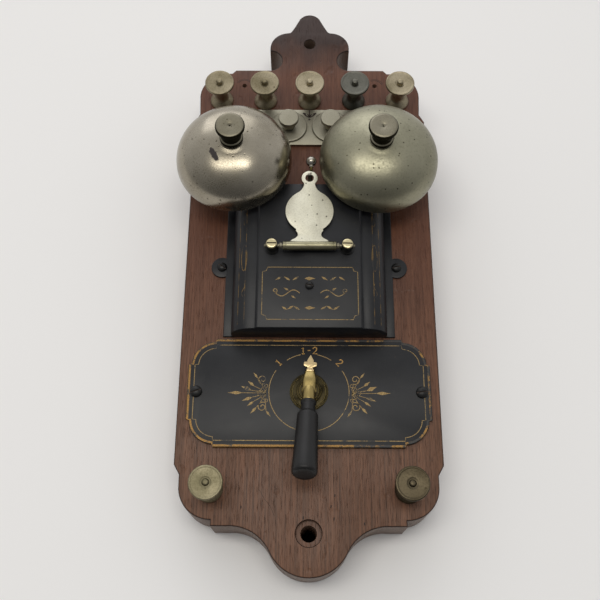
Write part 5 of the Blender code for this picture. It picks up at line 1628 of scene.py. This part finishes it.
@dataclass
class Studio:
    """A pale wall behind the board, soft light and the camera."""

    lens: float = 50.79
    eye: Triple = (-0.00334, -0.49872, -0.21907)
    look: Triple = (112.225, -0.340, 0.121)
    wall_gap: float = 0.0004
    wall_half: float = 3.0
    plug_r: float = 0.0055

    def wall(self) -> None:
        """A pale matt wall, clear from behind and open behind the board, so the back can be seen; dark discs of
        painted shadow sit behind its two holes.
        """
        board = Backboard()
        y = BOARD_BACK_Y + self.wall_gap
        far = self.wall_half
        corners = [(-far, -far), (far, -far), (far, far), (-far, far)]
        opening = [(x * MM, z * MM) for x, z in inset(board.outline(), 3.0)]
        bm = bmesh.new()
        for loop in (corners, opening):
            ring = [bm.verts.new((x, y, z)) for x, z in loop]
            for one, two in zip(ring, ring[1:] + ring[:1]):
                bm.edges.new((one, two))
        bmesh.ops.triangle_fill(bm, use_beauty=True, edges=bm.edges[:])
        half_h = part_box("backboard")[1].z
        # dark discs behind the hanging hole and the screw hole: painted shadow, so that the holes show black
        for z in (half_h - board.hang_drop * MM, board.screw_rise * MM - half_h):
            rim = [(self.plug_r * math.cos(a), y, z + self.plug_r * math.sin(a)) for a in angles_round(24)]
            bm.faces.new([bm.verts.new(p) for p in rim]).material_index = 1
        for face in bm.faces:
            face.normal_update()
            if face.normal.y > 0:
                face.normal_flip()
        mesh = bpy.data.meshes.new("wall")
        bm.to_mesh(mesh)
        bm.free()
        mesh.materials.append(self.one_sided("matt_wall", "#F2F1F0"))
        mesh.materials.append(self.one_sided("screw_plug", "#0C0B0A"))
        wall = bpy.data.objects.new("wall", mesh)
        bpy.context.scene.collection.objects.link(wall)

    def one_sided(self, name: str, colour: str) -> bpy.types.Material:
        """A matt paint that is clear from behind."""
        material = bpy.data.materials.new(name)
        material.use_nodes = True
        tree = material.node_tree
        tree.nodes.clear()
        diffuse = add_node(tree, "BsdfDiffuse", {"Color": linear(colour)})
        clear = add_node(tree, "BsdfTransparent")
        behind = add_node(tree, "NewGeometry").outputs["Backfacing"]
        mixed = add_node(tree, "MixShader", {0: behind, 1: diffuse.outputs[0], 2: clear.outputs[0]})
        add_node(tree, "OutputMaterial", {"Surface": mixed.outputs[0]})
        return material

    def light(self, name: str, spot: Triple, aim: Triple, size: Point, watts: float, colour: str) -> None:
        """One soft rectangular light aimed at a point."""
        data = bpy.data.lights.new(name, "AREA")
        data.shape = "RECTANGLE"
        data.size, data.size_y = size
        data.energy = watts
        data.color = linear(colour)[:3]
        lamp = bpy.data.objects.new(name, data)
        lamp.location = spot
        lamp.rotation_euler = (Vector(aim) - Vector(spot)).to_track_quat("-Z", "Y").to_euler()
        bpy.context.scene.collection.objects.link(lamp)

    def build(self) -> None:
        """Set up the wall, lights, surroundings and camera."""
        self.wall()
        self.light("front_window", (-0.16, -1.5, -0.02), (0, 0, 0), (1.25, 0.34), 7.2, "#FFFBF2")
        self.light("high_window", (-0.3, -0.8, 1.6), (0, 0, 0.05), (1.5, 1.1), 6.5, "#FCFCFF")
        world = bpy.data.worlds.new("room")
        world.use_nodes = True
        tree = world.node_tree
        tree.nodes.clear()
        up = add_node(tree, "SeparateXYZ", {0: add_node(tree, "TexCoord").outputs["Generated"]}).outputs["Z"]
        span = {"Value": up, "From Min": -0.9, "From Max": 0.8, "To Min": 0.17, "To Max": 0.93}
        level = add_node(tree, "MapRange", span)
        glow = add_node(tree, "Background", {"Color": linear("#F6F6F7"), "Strength": level.outputs[0]})
        add_node(tree, "OutputWorld", {"Surface": glow.outputs[0]})
        bpy.context.scene.world = world
        data = bpy.data.cameras.new("camera")
        data.lens = self.lens
        data.sensor_width = 36.0
        camera = bpy.data.objects.new("camera", data)
        camera.location = self.eye
        camera.rotation_euler = [math.radians(a) for a in self.look]
        bpy.context.scene.collection.objects.link(camera)
        bpy.context.scene.camera = camera
        bpy.context.scene.view_settings.view_transform = "Standard"


def main() -> None:
    """Build every sub-assembly in order and light it."""
    logging.basicConfig(level=logging.INFO, format="%(message)s")
    Backboard().build()
    finishes = {
        "top_right": THUMB_NICKEL_GREY,
        "foot_left": THUMB_NICKEL_GREEN,
        "foot_right": THUMB_NICKEL_BROWN,
    }
    for node in sorted(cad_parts):
        if node.startswith("terminal_post_"):
            name = node.removeprefix("terminal_post_")
            BindingPost(name, finishes.get(name, THUMB_NICKEL)).build()
    Arrester().build()
    Gong("left", GONG_NICKEL_LEFT).build()
    Gong("right", GONG_NICKEL_RIGHT).build()
    Cover().build()
    DropShutter().build()
    DialPlate().build()
    Selector().build()
    works = HiddenWorks()
    works.dress()
    works.ball()
    Studio().build()


if __name__ == "__main__":
    main()
